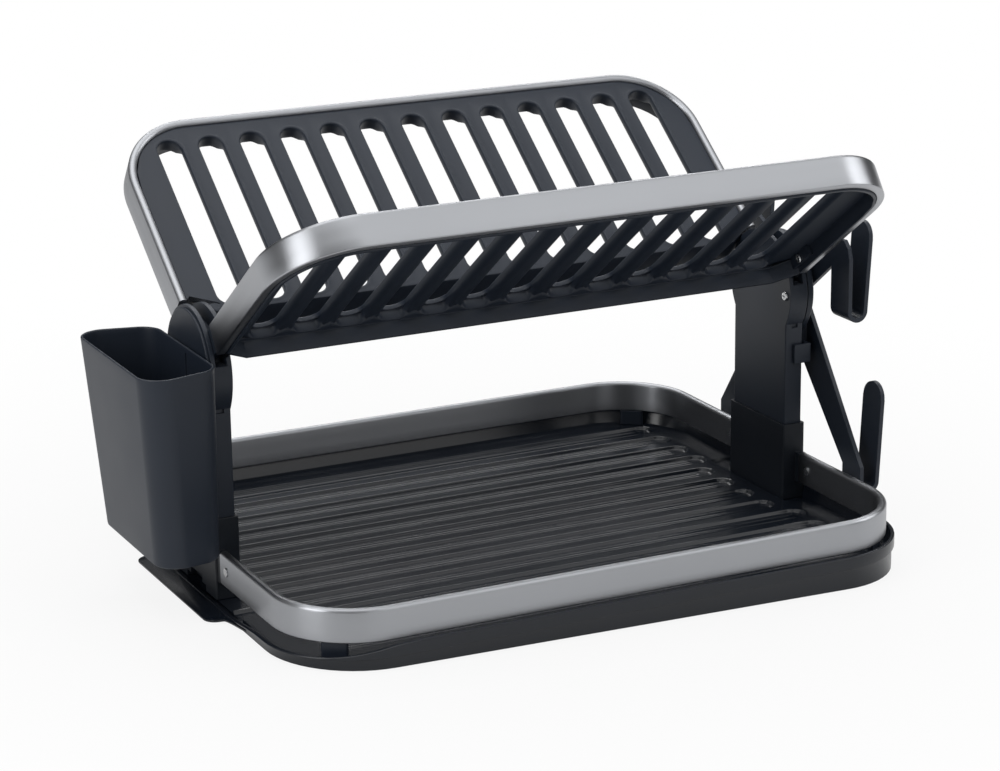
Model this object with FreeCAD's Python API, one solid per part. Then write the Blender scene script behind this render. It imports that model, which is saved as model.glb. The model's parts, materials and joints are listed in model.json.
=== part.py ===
import FreeCAD, Part
import math
import os

V = FreeCAD.Vector

# Two-tier dish rack. Every piece is drawn in the rack's own level frame: X along the long side,
# Y away from the user, Z up from the underside of the lower frame, posts at Y = 0.
# The finished pieces are then tipped with the tray, which stands flat at Z = 0 and drains to -X.

# Slope of the rack on its wedge-shaped tray, and how deep the tray is under the middle of the frame.
DRAIN_SLOPE = 1.1
TRAY_DEPTH = 21.0

# Aluminium rail, one flat tube section for the lower frame and for both wings.
RAIL_HEIGHT = 23.0
RAIL_THICK = 6.0
RAIL_WALL = 1.2
RAIL_TOP_ROUND = 2.6
RAIL_BOTTOM_ROUND = 1.0

# Lower frame.
FRAME_LENGTH = 460.0
FRAME_DEPTH = 384.0
FRAME_CORNER = 60.0
FRAME_END_GAP = 86.0

# Sleeves that stand in the tray and join the two halves of the lower frame.
SLEEVE_DEPTH = 76.0
SLEEVE_WIDTH = 18.0
SLEEVE_TOP = 44.0
SLEEVE_WALL = 1.6
SLEEVE_PROUD = 1.4
SLEEVE_FLOOR = 3.0
TONGUE_LENGTH = 18.0
TONGUE_PLAY = 0.15
ARCH_STEP = 4.5
ARCH_HALF = 18.0
ARCH_STEP_LENGTH = 7.0
ARCH_REACH = 7.0

# Posts that plug into the sleeves.
PLUG_PLAY = 0.3
POST_WALL = 2.2
POST_SHOULDER = 100.0
CHEEK_THICK = 3.0
NOTCH_HEIGHT = 118.0

# Hinge hub at the top of each post.
HUB_HEIGHT = 141.0
HUB_RADIUS = 42.0
COVER_RADIUS = 40.0
COVER_THICK = 1.9
KNUCKLE_RADIUS = 31.0
KNUCKLE_GAP = 0.3
POCKET_PLAY = 0.6
POCKET_OPEN = 9.0
PIN_RADIUS = 5.0
PIN_PLAY = 0.05
PIN_COVER = 1.4
STOP_RADIUS = 23.0
STOP_PIN_RADIUS = 3.0
STOP_PLAY = 0.3
CHEEK_SCREW_Y = 35.3

# Angle of each wing above level when it rests, how far off centre it sits along X, and how high it folds.
WING_REST = {"front_wing": 36.0, "back_wing": 36.8}
BACK_WING_SHIFT = 3.0
WING_SHIFT = {"front_wing": 0.0, "back_wing": BACK_WING_SHIFT}
WING_FOLDED = 74.0

# Wings.
WING_LENGTH = 454.0
WING_REACH = 210.0
WING_CORNER = 56.0
WING_RAIL_START = 47.6
GRID_PLAY = 0.2
GRID_DROP = 2.5
GRID_PLATE = 3.0
GRID_SKIRT = 2.4
GRID_SKIRT_HEIGHT = 21.5
GRID_START = 36.0
SLOT_COUNT = 13
SLOT_PITCH = 31.3
MIDDLE_EXTRA = 1.6
SLOT_WIDTH = 18.4
SLOT_START = 41.0
SLOT_MARGIN = 18.0
POCKET_START = 40.0
POCKET_CORNER = 5.0
BORDER_DEPTH = 10.0
BAR_DEPTH = 7.5
BAR_FOOT = 6.0
WING_SCREW_REACH = 61.0
WING_SCREW_DROP = 4.8
BRACKET_PLATE = 2.8
BRACKET_REACH = 76.0
BRACKET_HALF = 8.5
BRACKET_BLOCK_START = 42.7
BRACKET_BLOCK = 4.4

# Drip tray.
TRAY_OVERHANG = 6.0
RIM_GAP = 0.6
RIM_BAND = 8.8
RIM_INSET = 1.8
RIM_WIDTH = 3.0
TRAY_FLOOR = 11.6
TRAY_WALL = 2.2
FLOOR_THICK = 4.4
FLOOR_SLOPE_IN = 3.0
CHANNEL_COUNT = 12
CHANNEL_PITCH = 28.7
CHANNEL_WIDTH = 20.0
CHANNEL_DEPTH = 2.4
CHANNEL_END = 212.0
CHANNEL_END_BY_SLEEVE = 202.0
GUTTER_MARGIN = 25.0
GUTTER_WIDTH = 12.0
SLEEVE_SEAT = 13.5
SEAT_MARGIN = 1.6
OUTLET_HALF = 16.0
RIM_DIP = 7.9
DIP_START = 158.0
SPOUT_REACH = 15.0
SPOUT_HALF = 62.0
SPOUT_FLARE = 13.0
SPOUT_THICK = 1.5
PAD_RADIUS = 8.0
PAD_STAND = 0.4
PAD_THICK = 1.4
PAD_X = 190.0
PAD_Y = 140.0
SEAT_GAP = 0.3

# Cutlery holder.
CUP_TOP = 157.0
CUP_BOTTOM = 24.0
CUP_WALL = 2.0
CUP_BASE = 2.4
CUP_INNER_X = 233.3
CUP_MIDDLE_Y = -6.0
CUP_TOP_WIDTH = 55.6
CUP_BOTTOM_WIDTH = 46.0
CUP_TOP_OUTER_HALF = 75.0
CUP_TOP_INNER_HALF = 61.0
CUP_BOTTOM_OUTER_HALF = 64.0
CUP_BOTTOM_INNER_HALF = 57.0
CUP_CORNER = 17.0
CUP_DRAIN_COUNT = 6
HANGER_WIDTH = 30.0
HANGER_LOW = 50.0
HANGER_HIGH = 72.0
HANGER_BASE = 1.0
HANGER_LIP = 0.8
CUP_TONGUE = 1.2

# Side holder on the right post.
HOLDER_PLATE = 5.0
HOLDER_RADIUS = 40.0
HOLDER_STRIP = 3.2
HOLDER_STAND = 12.4
BOSS_HALF = 24.0
HOLDER_WIDTH = 23.4
UPPER_HOOK_Y = 67.0
UPPER_HOOK_LOW = 127.0
UPPER_HOOK_HIGH = 199.0
LOWER_HOOK_Y = 87.0
LOWER_HOOK_LOW = 4.0
LOWER_HOOK_HIGH = 84.0
HOOK_GAP = 10.0
HOOK_LEAN = 4.0
TAB_LOW = 90.0
TAB_HIGH = 104.0
TAB_THICK = 2.6
TAB_REACH = 8.0

# Fasteners.
RIVET_RADIUS = 2.0
RIVET_HEAD_RADIUS = 3.1
RIVET_HEAD = 0.8
RIVET_INSET = 11.0
SCREW_RADIUS = 1.8
SCREW_HEAD_RADIUS = 3.4
SCREW_HEAD = 1.5

# Places that follow from the sizes above.
FRAME_X = FRAME_LENGTH / 2
FRAME_Y = FRAME_DEPTH / 2
SLEEVE_OUT = FRAME_X + SLEEVE_PROUD
SLEEVE_IN = SLEEVE_OUT - SLEEVE_WIDTH
SLEEVE_Y = SLEEVE_DEPTH / 2
SLEEVE_FOOT = -SLEEVE_SEAT + SEAT_GAP
POST_OUT = SLEEVE_OUT - SLEEVE_WALL - PLUG_PLAY
POST_IN = SLEEVE_IN + SLEEVE_WALL + PLUG_PLAY
POST_Y = SLEEVE_Y - SLEEVE_WALL - PLUG_PLAY
POST_FOOT = SLEEVE_FLOOR + SEAT_GAP
COVER_IN = POST_OUT
COVER_OUT = COVER_IN + COVER_THICK
SLOT_IN = POST_IN + CHEEK_THICK
SLOT_OUT = POST_OUT - CHEEK_THICK
KNUCKLE_THICK = (SLOT_OUT - SLOT_IN - 3 * KNUCKLE_GAP) / 2
LAYER_IN = SLOT_IN + KNUCKLE_GAP
LAYER_OUT = LAYER_IN + KNUCKLE_THICK + KNUCKLE_GAP
WING_X = WING_LENGTH / 2
GRID_X = WING_X - RAIL_THICK - GRID_PLAY
GRID_TOP = RAIL_HEIGHT / 2 - GRID_DROP
GRID_REACH = WING_REACH - RAIL_THICK - GRID_PLAY
BRACKET_OUT = GRID_X - GRID_SKIRT - GRID_PLAY
BRACKET_IN = BRACKET_OUT - BRACKET_PLATE
TRAY_X = FRAME_X + TRAY_OVERHANG
GUTTER_FAR = TRAY_X - GUTTER_MARGIN
GUTTER_NEAR = GUTTER_FAR - GUTTER_WIDTH
SLOT_END = WING_REACH - SLOT_MARGIN
TRAY_Y = FRAME_Y + TRAY_OVERHANG
TRAY_CORNER = FRAME_CORNER + TRAY_OVERHANG
HOLDER_IN = COVER_OUT + PLUG_PLAY
HOLDER_OUT = HOLDER_IN + HOLDER_PLATE
ARM_OUT = HOLDER_IN + HOLDER_STAND
ARM_IN = ARM_OUT - HOLDER_STRIP
HUB = V(0, 0, HUB_HEIGHT)


def box(x0, x1, y0, y1, z0, z1):
    """Block between two corners, given in any order."""
    xs, ys, zs = sorted((x0, x1)), sorted((y0, y1)), sorted((z0, z1))
    size = (xs[1] - xs[0], ys[1] - ys[0], zs[1] - zs[0])
    return Part.makeBox(*size, V(xs[0], ys[0], zs[0]))


def rod_x(x0, x1, y, z, radius):
    """Round bar along X."""
    low = min(x0, x1)
    return Part.makeCylinder(radius, abs(x1 - x0), V(low, y, z), V(1, 0, 0))


def rounded_face(x0, x1, y0, y1, radius, z=0.0):
    """Level rectangle with rounded corners."""
    r = min(radius, (x1 - x0) / 2 - 0.01, (y1 - y0) / 2 - 0.01)
    k = r * (1 - math.sqrt(0.5))
    corners = [(x1, y0, -1, 1), (x1, y1, -1, -1), (x0, y1, 1, -1), (x0, y0, 1, 1)]
    arcs = []
    for index, (x, y, sx, sy) in enumerate(corners):
        along_y = V(x, y + sy * r, z)
        along_x = V(x + sx * r, y, z)
        ends = (along_x, along_y) if index in (0, 2) else (along_y, along_x)
        arcs.append((ends[0], V(x + sx * k, y + sy * k, z), ends[1]))
    edges = []
    for index, (start, middle, end) in enumerate(arcs):
        edges.append(Part.Arc(start, middle, end).toShape())
        following = arcs[(index + 1) % 4][0]
        edges.append(Part.makeLine(end, following))
    return Part.Face(Part.Wire(edges))


def rounded_block(x0, x1, y0, y1, z0, z1, radius):
    """Block with rounded upright edges."""
    return rounded_face(x0, x1, y0, y1, radius, z0).extrude(V(0, 0, z1 - z0))


def polygon_prism(points, direction):
    """Flat polygon carried along a direction."""
    return Part.Face(Part.makePolygon(points + [points[0]])).extrude(direction)


def merged(shapes):
    """One solid from overlapping solids."""
    return shapes[0].multiFuse(shapes[1:]).removeSplitter()


def mirror_x(shape):
    return shape.mirror(V(0, 0, 0), V(1, 0, 0))


def mirror_y(shape):
    return shape.mirror(V(0, 0, 0), V(0, 1, 0))


def half_turn(shape):
    """Copy turned half way round the upright axis through the middle."""
    copy = shape.copy()
    copy.rotate(V(0, 0, 0), V(0, 0, 1), 180)
    return copy


def rounded_rail(x_half, y_low, y_high, corner):
    """Band of the rail's thickness inside a rounded rectangle, hollow, standing on Z = 0."""
    def ring(inset, z0, z1):
        outer = rounded_block(-x_half + inset, x_half - inset, y_low + inset, y_high - inset, z0, z1,
                              corner - inset)
        deep = RAIL_THICK - inset
        inner = rounded_block(-x_half + deep, x_half - deep, y_low + deep, y_high - deep, z0, z1,
                              corner - deep)
        return outer.cut(inner)
    band = ring(0.0, 0.0, RAIL_HEIGHT)
    top = [e for e in band.Edges if e.BoundBox.ZMin > RAIL_HEIGHT - 0.01]
    band = band.makeFillet(RAIL_TOP_ROUND, top)
    bottom = [e for e in band.Edges if e.BoundBox.ZMax < 0.01]
    band = band.makeFillet(RAIL_BOTTOM_ROUND, bottom)
    return band.cut(ring(RAIL_WALL, RAIL_WALL, RAIL_HEIGHT - RAIL_WALL))


def frame_half():
    """Back half of the lower frame: a U of hollow rail whose ends face the sleeve."""
    band = rounded_rail(FRAME_X, -FRAME_Y, FRAME_Y, FRAME_CORNER)
    keep = box(-FRAME_X - 1, FRAME_X + 1, FRAME_END_GAP / 2, FRAME_Y + 1, -1, RAIL_HEIGHT + 1)
    return band.common(keep)


def rivet_places():
    """Y and Z of the rivets at the ends of the lower frame."""
    y = FRAME_END_GAP / 2 + RIVET_INSET
    return [(side * y, RAIL_HEIGHT / 2) for side in (-1, 1)]


def right_sleeve():
    """Socket for the post, with a stepped water arch under it and a tongue into each rail end."""
    body = box(SLEEVE_IN, SLEEVE_OUT, -SLEEVE_Y, SLEEVE_Y, SLEEVE_FOOT, SLEEVE_TOP)
    upright = [e for e in body.Edges if abs(e.BoundBox.ZLength - body.BoundBox.ZLength) < 0.01]
    body = body.makeFillet(1.2, upright)
    socket = box(SLEEVE_IN + SLEEVE_WALL, SLEEVE_OUT - SLEEVE_WALL, -SLEEVE_Y + SLEEVE_WALL,
                 SLEEVE_Y - SLEEVE_WALL, SLEEVE_FLOOR, SLEEVE_TOP + 1)
    body = body.cut(socket)
    for step in range(2):
        half = ARCH_HALF - step * ARCH_STEP_LENGTH
        arch = box(SLEEVE_OUT - ARCH_REACH, SLEEVE_OUT + 1, -half, half, SLEEVE_FOOT - 1,
                   SLEEVE_FOOT + (step + 1) * ARCH_STEP)
        body = body.cut(arch)
    rail_in, rail_out = FRAME_X - RAIL_THICK, FRAME_X
    inset = RAIL_WALL + TONGUE_PLAY
    pieces = [body]
    for side in (-1, 1):
        shoulder_end = FRAME_END_GAP / 2 - TONGUE_PLAY
        pieces.append(box(rail_in, rail_out, side * (SLEEVE_Y - 0.5), side * shoulder_end,
                          0.0, RAIL_HEIGHT - 1.0))
        pieces.append(box(rail_in + inset, rail_out - inset, side * (SLEEVE_Y - 0.5),
                          side * (FRAME_END_GAP / 2 + TONGUE_LENGTH), inset, RAIL_HEIGHT - inset))
    sleeve = merged(pieces)
    for y, z in rivet_places():
        sleeve = sleeve.cut(rod_x(rail_in, rail_out, y, z, RIVET_RADIUS))
    return sleeve


def drill_rivets(rail):
    """Rivet holes through both ends of a half of the lower frame."""
    for side in (-1, 1):
        for y, z in rivet_places():
            rail = rail.cut(rod_x(side * (FRAME_X - RAIL_THICK - 1), side * (FRAME_X + 1), y, z,
                                  RIVET_RADIUS))
    return rail


def rivets():
    """Four round-headed rivets along X."""
    solids = []
    for side in (-1, 1):
        inner, outer = FRAME_X - RAIL_THICK, FRAME_X
        for y, z in rivet_places():
            shank = rod_x(side * inner, side * outer, y, z, RIVET_RADIUS - 0.05)
            heads = [rod_x(side * outer, side * (outer + RIVET_HEAD), y, z, RIVET_HEAD_RADIUS),
                     rod_x(side * (inner - RIVET_HEAD), side * inner, y, z, RIVET_HEAD_RADIUS)]
            solids.append(merged([shank] + heads))
    return Part.makeCompound(solids)


def corner_feet():
    """Small feet under the four corners of the frame, down to the tray's floor."""
    solids = []
    arc_x, arc_y = FRAME_X - FRAME_CORNER, FRAME_Y - FRAME_CORNER
    radius = FRAME_CORNER - RAIL_THICK / 2 - 2.4
    for sx in (-1, 1):
        for sy in (-1, 1):
            x = sx * (arc_x + radius * math.sin(math.radians(38)))
            y = sy * (arc_y + radius * math.cos(math.radians(38)))
            foot = rounded_block(-9, 9, -2.0, 2.0, -TRAY_FLOOR + SEAT_GAP, 0.0, 1.8)
            foot.rotate(V(0, 0, 0), V(0, 0, 1), -sx * sy * 38)
            foot.translate(V(x, y, 0))
            solids.append(foot)
    return Part.makeCompound(solids)


def right_post():
    """Hollow column that plugs into the sleeve; its round head has a pocket for the wings' knuckles."""
    column = box(POST_IN, POST_OUT, -POST_Y, POST_Y, POST_FOOT, HUB_HEIGHT)
    upright = [e for e in column.Edges if e.BoundBox.ZLength > HUB_HEIGHT / 2]
    column = column.makeFillet(1.0, upright)
    head = rod_x(POST_IN, POST_OUT, 0, HUB_HEIGHT, HUB_RADIUS)
    post = merged([column, head])
    post = post.cut(box(POST_IN + POST_WALL, POST_OUT - POST_WALL, -POST_Y + POST_WALL, POST_Y - POST_WALL,
                        POST_FOOT - 1, POST_SHOULDER))
    post = post.cut(rod_x(SLOT_IN, SLOT_OUT, 0, HUB_HEIGHT, KNUCKLE_RADIUS + POCKET_PLAY))
    post = post.cut(box(SLOT_IN, SLOT_OUT, -HUB_RADIUS - 1, HUB_RADIUS + 1, HUB_HEIGHT + POCKET_OPEN,
                        HUB_HEIGHT + HUB_RADIUS + 1))
    post = post.cut(rod_x(POST_IN + PIN_COVER, POST_OUT + 1, 0, HUB_HEIGHT, PIN_RADIUS + PIN_PLAY))
    post = post.cut(rod_x(POST_IN + PIN_COVER, POST_OUT + 1, 0, HUB_HEIGHT - STOP_RADIUS, STOP_PIN_RADIUS))
    for side in (-1, 1):
        post = post.cut(box(POST_IN + 5.0, POST_IN + 10.0, side * (POST_Y - 1.5), side * (POST_Y + 1),
                            NOTCH_HEIGHT - 1.5, NOTCH_HEIGHT + 1.5))
        post = post.cut(rod_x(POST_IN - 1, POST_IN + CHEEK_THICK * 3, side * CHEEK_SCREW_Y, HUB_HEIGHT,
                              SCREW_RADIUS))
    return post


def right_hub_cover():
    """Thin disc with a turned edge that closes the hinge on the outer side."""
    disc = rod_x(COVER_IN, COVER_OUT, 0, HUB_HEIGHT, COVER_RADIUS)
    outer = [e for e in disc.Edges if e.BoundBox.XMin > COVER_OUT - 0.01]
    return disc.makeFillet(0.8, outer)


def right_hinge_pin():
    """Pin along X through both knuckles, let into the inner cheek and closed in by the cover."""
    return rod_x(POST_IN + PIN_COVER, POST_OUT, 0, HUB_HEIGHT, PIN_RADIUS)


def right_stop_pin():
    """Pin across the pocket below the hinge, where both wings come to rest."""
    return rod_x(POST_IN + PIN_COVER, POST_OUT, 0, HUB_HEIGHT - STOP_RADIUS, STOP_PIN_RADIUS - 0.02)


def pan_screw(x, y, z, into, shank):
    """Pan-headed screw along X with a cross recess; into is the way its shank points."""
    head = rod_x(x, x - into * SCREW_HEAD, y, z, SCREW_HEAD_RADIUS)
    face = x - into * SCREW_HEAD
    rim = [e for e in head.Edges if abs(e.BoundBox.XMin - face) < 0.01 and e.BoundBox.XLength < 0.01]
    head = head.makeFillet(0.9, rim)
    for dy, dz in ((2.1, 0.45), (0.45, 2.1)):
        head = head.cut(box(face - 0.9, face + 0.9, y - dy, y + dy, z - dz, z + dz))
    return merged([head, rod_x(x, x + into * shank, y, z, SCREW_RADIUS - 0.1)])


def cheek_screws():
    solids = []
    for sx in (-1, 1):
        for side in (-1, 1):
            solids.append(pan_screw(sx * POST_IN, side * CHEEK_SCREW_Y, HUB_HEIGHT, sx,
                                    CHEEK_THICK * 3 - 0.4))
    return Part.makeCompound(solids)


def wing_screw_places():
    """Distance from the hinge and height of the screws in a wing bracket."""
    return [(WING_SCREW_REACH, -WING_SCREW_DROP)]


def ring_sector(x0, x1, inner, outer, start, end):
    """Part of a ring about the hinge axis in a wing's own frame, angles from +Y towards +Z."""
    ring = rod_x(x0, x1, 0, 0, outer).cut(rod_x(x0, x1, 0, 0, inner))
    middle, half = math.radians((start + end) / 2), math.radians(abs(end - start) / 2)
    reach = outer * 1.3
    fan = [V(x0, 0, 0)]
    for k in range(-2, 3):
        angle = middle + half * k / 2
        fan.append(V(x0, reach * math.cos(angle), reach * math.sin(angle)))
    return ring.common(polygon_prism(fan, V(x1 - x0, 0, 0)))


def wing_bracket(side, layer, rest, shift):
    """Hinge bracket: knuckle in its layer of the hub, a neck, and a plate inside the grid's skirt."""
    x0 = layer - side * shift
    x1 = x0 + KNUCKLE_THICK
    block_end = BRACKET_BLOCK_START + BRACKET_BLOCK
    knuckle = rod_x(x0, x1, 0, 0, KNUCKLE_RADIUS)
    neck = box(x0, x1, 0, block_end, -BRACKET_HALF, BRACKET_HALF)
    block = box(BRACKET_IN, x1, BRACKET_BLOCK_START, block_end, -BRACKET_HALF, BRACKET_HALF)
    plate = box(BRACKET_IN, BRACKET_OUT, BRACKET_BLOCK_START, BRACKET_REACH,
                -BRACKET_HALF, GRID_TOP - GRID_PLATE - GRID_PLAY)
    bracket = merged([knuckle, neck, block, plate])
    bracket = bracket.cut(rod_x(x0 - 1, x1 + 1, 0, 0, PIN_RADIUS + PIN_PLAY))
    track = STOP_PIN_RADIUS + STOP_PLAY
    margin = math.degrees(math.asin(track / STOP_RADIUS))
    slot = ring_sector(x0 - 1, x1 + 1, STOP_RADIUS - track, STOP_RADIUS + track,
                       -90.0 - rest + margin, -90.0 - WING_FOLDED - margin)
    bracket = bracket.cut(slot)
    for d, m in wing_screw_places():
        bracket = bracket.cut(rod_x(BRACKET_IN - 1, BRACKET_OUT + 1, d, m, SCREW_RADIUS))
    return bracket if side > 0 else mirror_x(bracket)


def wing_rail():
    """Aluminium rail round three sides of a wing."""
    band = rounded_rail(WING_X, -WING_REACH, WING_REACH, WING_CORNER)
    keep = box(-WING_X - 1, WING_X + 1, WING_RAIL_START, WING_REACH + 1, -1, RAIL_HEIGHT + 1)
    rail = band.common(keep)
    rail.translate(V(0, 0, -RAIL_HEIGHT / 2))
    for side in (-1, 1):
        for d, m in wing_screw_places():
            rail = rail.cut(rod_x(side * (WING_X - RAIL_THICK - 1), side * (WING_X - RAIL_THICK + 2), d, m,
                                  SCREW_RADIUS))
    return rail


def slot_middle(index):
    """X of a slot's middle; the middle slot stands between two wider bars."""
    place = index - (SLOT_COUNT - 1) / 2
    return place * SLOT_PITCH + (MIDDLE_EXTRA if place > 0 else -MIDDLE_EXTRA if place < 0 else 0.0)


def bar_relief(x, start, end, floor):
    """Cutter under one slot that leaves the bars beside it with a rounded, narrower underside."""
    half = SLOT_WIDTH / 2
    spread = (SLOT_PITCH - SLOT_WIDTH - BAR_FOOT) / 2
    low = GRID_TOP - BAR_DEPTH
    top = GRID_TOP - GRID_PLATE
    side = [(half, top), (half + spread * 0.12, top - 1.6), (half + spread * 0.5, low + 0.9),
            (half + spread, low), (half + spread, floor)]
    outline = side + [(-a, m) for a, m in reversed(side)]
    return polygon_prism([V(x + a, start, m) for a, m in outline], V(0, end - start, 0))


def wing_grid():
    """Moulded grid: slotted plate on deep bars, and a skirt that lines the rail."""
    skirt_low = GRID_TOP - GRID_SKIRT_HEIGHT
    corner = WING_CORNER - RAIL_THICK - GRID_PLAY
    shell = rounded_block(-GRID_X, GRID_X, -GRID_REACH, GRID_REACH, skirt_low, GRID_TOP, corner)
    room = rounded_block(-GRID_X + GRID_SKIRT, GRID_X - GRID_SKIRT, -GRID_REACH, GRID_REACH - GRID_SKIRT,
                         skirt_low - 1, GRID_TOP - GRID_PLATE, corner - GRID_SKIRT)
    grid = shell.cut(room).common(box(-GRID_X, GRID_X, GRID_START, GRID_REACH, skirt_low, GRID_TOP))
    wall_half = POST_IN - BACK_WING_SHIFT - SEAT_GAP
    wall = box(-wall_half, wall_half, GRID_START, GRID_START + GRID_SKIRT, skirt_low, GRID_TOP)
    bar_low = GRID_TOP - BORDER_DEPTH
    deck = rounded_block(-GRID_X + 1, GRID_X - 1, -GRID_REACH + 1, GRID_REACH - 1, bar_low, GRID_TOP - 1,
                         corner - 1)
    deck_half = wall_half - 1
    deck = deck.common(box(-deck_half, deck_half, GRID_START, SLOT_END + 5.0, bar_low, GRID_TOP))
    grid = merged([grid, wall, deck])
    for side in (-1, 1):
        grid = grid.cut(box(side * wall_half, side * (GRID_X + 1), GRID_START - 1,
                            BRACKET_BLOCK_START + BRACKET_BLOCK + GRID_PLAY, skirt_low - 1, GRID_TOP + 1))
        for d, m in wing_screw_places():
            grid = grid.cut(rod_x(side * BRACKET_OUT, side * (GRID_X + 1), d, m, SCREW_RADIUS))
    half = SLOT_WIDTH / 2
    field = (SLOT_COUNT / 2 - 0.5) * SLOT_PITCH + MIDDLE_EXTRA + half
    grid = grid.cut(box(-field, field, SLOT_START + half, SLOT_END - half, bar_low - 1,
                        GRID_TOP - BAR_DEPTH))
    for index in range(SLOT_COUNT):
        x = slot_middle(index)
        grid = grid.cut(rounded_block(x - half, x + half, SLOT_START, SLOT_END, bar_low - 1, GRID_TOP + 1,
                                      half))
        grid = grid.cut(rounded_block(x - half, x + half, POCKET_START, SLOT_END, bar_low - 1,
                                      GRID_TOP - GRID_PLATE, POCKET_CORNER))
        grid = grid.cut(bar_relief(x, SLOT_START + half, SLOT_END - half, bar_low - 1))
    return grid


def wing_screws():
    solids = []
    for side in (-1, 1):
        for d, m in wing_screw_places():
            shank = WING_X - RAIL_THICK + 1.0 - BRACKET_IN
            solids.append(pan_screw(side * BRACKET_IN, d, m, side, shank))
    return Part.makeCompound(solids)


def place_wing(shape, name):
    """Tilt a wing to its rest angle about the hinge; the front wing is also turned half way round."""
    copy = shape.copy()
    copy.translate(V(WING_SHIFT[name], 0, 0))
    copy.rotate(V(0, 0, 0), V(1, 0, 0), WING_REST[name])
    copy.translate(HUB)
    return half_turn(copy) if name == "front_wing" else copy


def cup_bracket():
    """Plate on the left post whose upturned lip carries the cutlery holder."""
    half = HANGER_WIDTH / 2
    base = box(-POST_OUT, -POST_OUT - HANGER_BASE, -half, half, HANGER_LOW, HANGER_HIGH)
    lip_out = CUP_INNER_X - SEAT_GAP
    ledge = box(-POST_OUT, -lip_out, -half, half, HANGER_LOW, HANGER_LOW + 1.5)
    lip = box(-lip_out, -lip_out + HANGER_LIP, -half, half, HANGER_LOW, HANGER_HIGH)
    return merged([base, ledge, lip])


def cup_plan(width, outer_half, inner_half, z, inset=0.0):
    """Rounded four-sided plan of the cutlery holder, wider on its outer side."""
    x_in, x_out = -CUP_INNER_X - inset, -CUP_INNER_X - width + inset
    middle = CUP_MIDDLE_Y
    points = [V(x_in, middle + inner_half - inset, z), V(x_in, middle - inner_half + inset, z),
              V(x_out, middle - outer_half + inset, z), V(x_out, middle + outer_half - inset, z)]
    radius = max(2.0, CUP_CORNER - inset)
    edges = []
    count = len(points)
    ends = []
    for index in range(count):
        here = points[index]
        back = (points[index - 1] - here).normalize()
        ahead = (points[(index + 1) % count] - here).normalize()
        half = back.getAngle(ahead) / 2
        away = radius / math.tan(half)
        centre = here + (back + ahead).normalize() * (radius / math.sin(half))
        middle = centre + (here - centre).normalize() * radius
        ends.append((here + back * away, middle, here + ahead * away))
    for index in range(count):
        start, middle, end = ends[index]
        edges.append(Part.Arc(start, middle, end).toShape())
        edges.append(Part.makeLine(end, ends[(index + 1) % count][0]))
    return Part.Wire(edges)


def cutlery_holder():
    """Tapered open cup with a drained base, a slot in its inner wall and a tongue for the bracket."""
    outer = Part.makeLoft([
        cup_plan(CUP_BOTTOM_WIDTH, CUP_BOTTOM_OUTER_HALF, CUP_BOTTOM_INNER_HALF, CUP_BOTTOM),
        cup_plan(CUP_TOP_WIDTH, CUP_TOP_OUTER_HALF, CUP_TOP_INNER_HALF, CUP_TOP)], True, True)
    share = CUP_BASE / (CUP_TOP - CUP_BOTTOM)

    def between(low, high):
        return low + share * (high - low)

    base = (between(CUP_BOTTOM_WIDTH, CUP_TOP_WIDTH),
            between(CUP_BOTTOM_OUTER_HALF, CUP_TOP_OUTER_HALF),
            between(CUP_BOTTOM_INNER_HALF, CUP_TOP_INNER_HALF))
    inner = Part.makeLoft([
        cup_plan(base[0], base[1], base[2], CUP_BOTTOM + CUP_BASE, CUP_WALL),
        cup_plan(CUP_TOP_WIDTH, CUP_TOP_OUTER_HALF, CUP_TOP_INNER_HALF, CUP_TOP, CUP_WALL)], True, True)
    lid = Part.Face(cup_plan(CUP_TOP_WIDTH, CUP_TOP_OUTER_HALF, CUP_TOP_INNER_HALF, CUP_TOP, CUP_WALL))
    cup = outer.cut(merged([inner, lid.extrude(V(0, 0, 2))]))
    middle = -CUP_INNER_X - CUP_BOTTOM_WIDTH / 2
    for index in range(CUP_DRAIN_COUNT):
        y = CUP_MIDDLE_Y + (index - (CUP_DRAIN_COUNT - 1) / 2) * 15.0
        cup = cup.cut(rounded_block(middle - 9, middle + 9, y - 2.5, y + 2.5, CUP_BOTTOM - 1,
                                    CUP_BOTTOM + CUP_BASE + 1, 2.4))
    cup = cup.cut(box(-CUP_INNER_X - CUP_WALL - 1, -CUP_INNER_X + 1, -9.0, -7.4,
                      CUP_TOP - 46.0, CUP_TOP - 4.0))
    half = HANGER_WIDTH / 2 - 2.0
    tongue_in = POST_OUT + HANGER_BASE + SEAT_GAP
    bridge_low = HANGER_HIGH + SEAT_GAP
    tongue = box(-tongue_in, -tongue_in - CUP_TONGUE, -half, half, HANGER_LOW + 4.0, bridge_low + 3.0)
    bridge = box(-tongue_in, -CUP_INNER_X - CUP_WALL / 2, -half, half, bridge_low, bridge_low + 3.0)
    return merged([cup, tongue, bridge])


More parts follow.
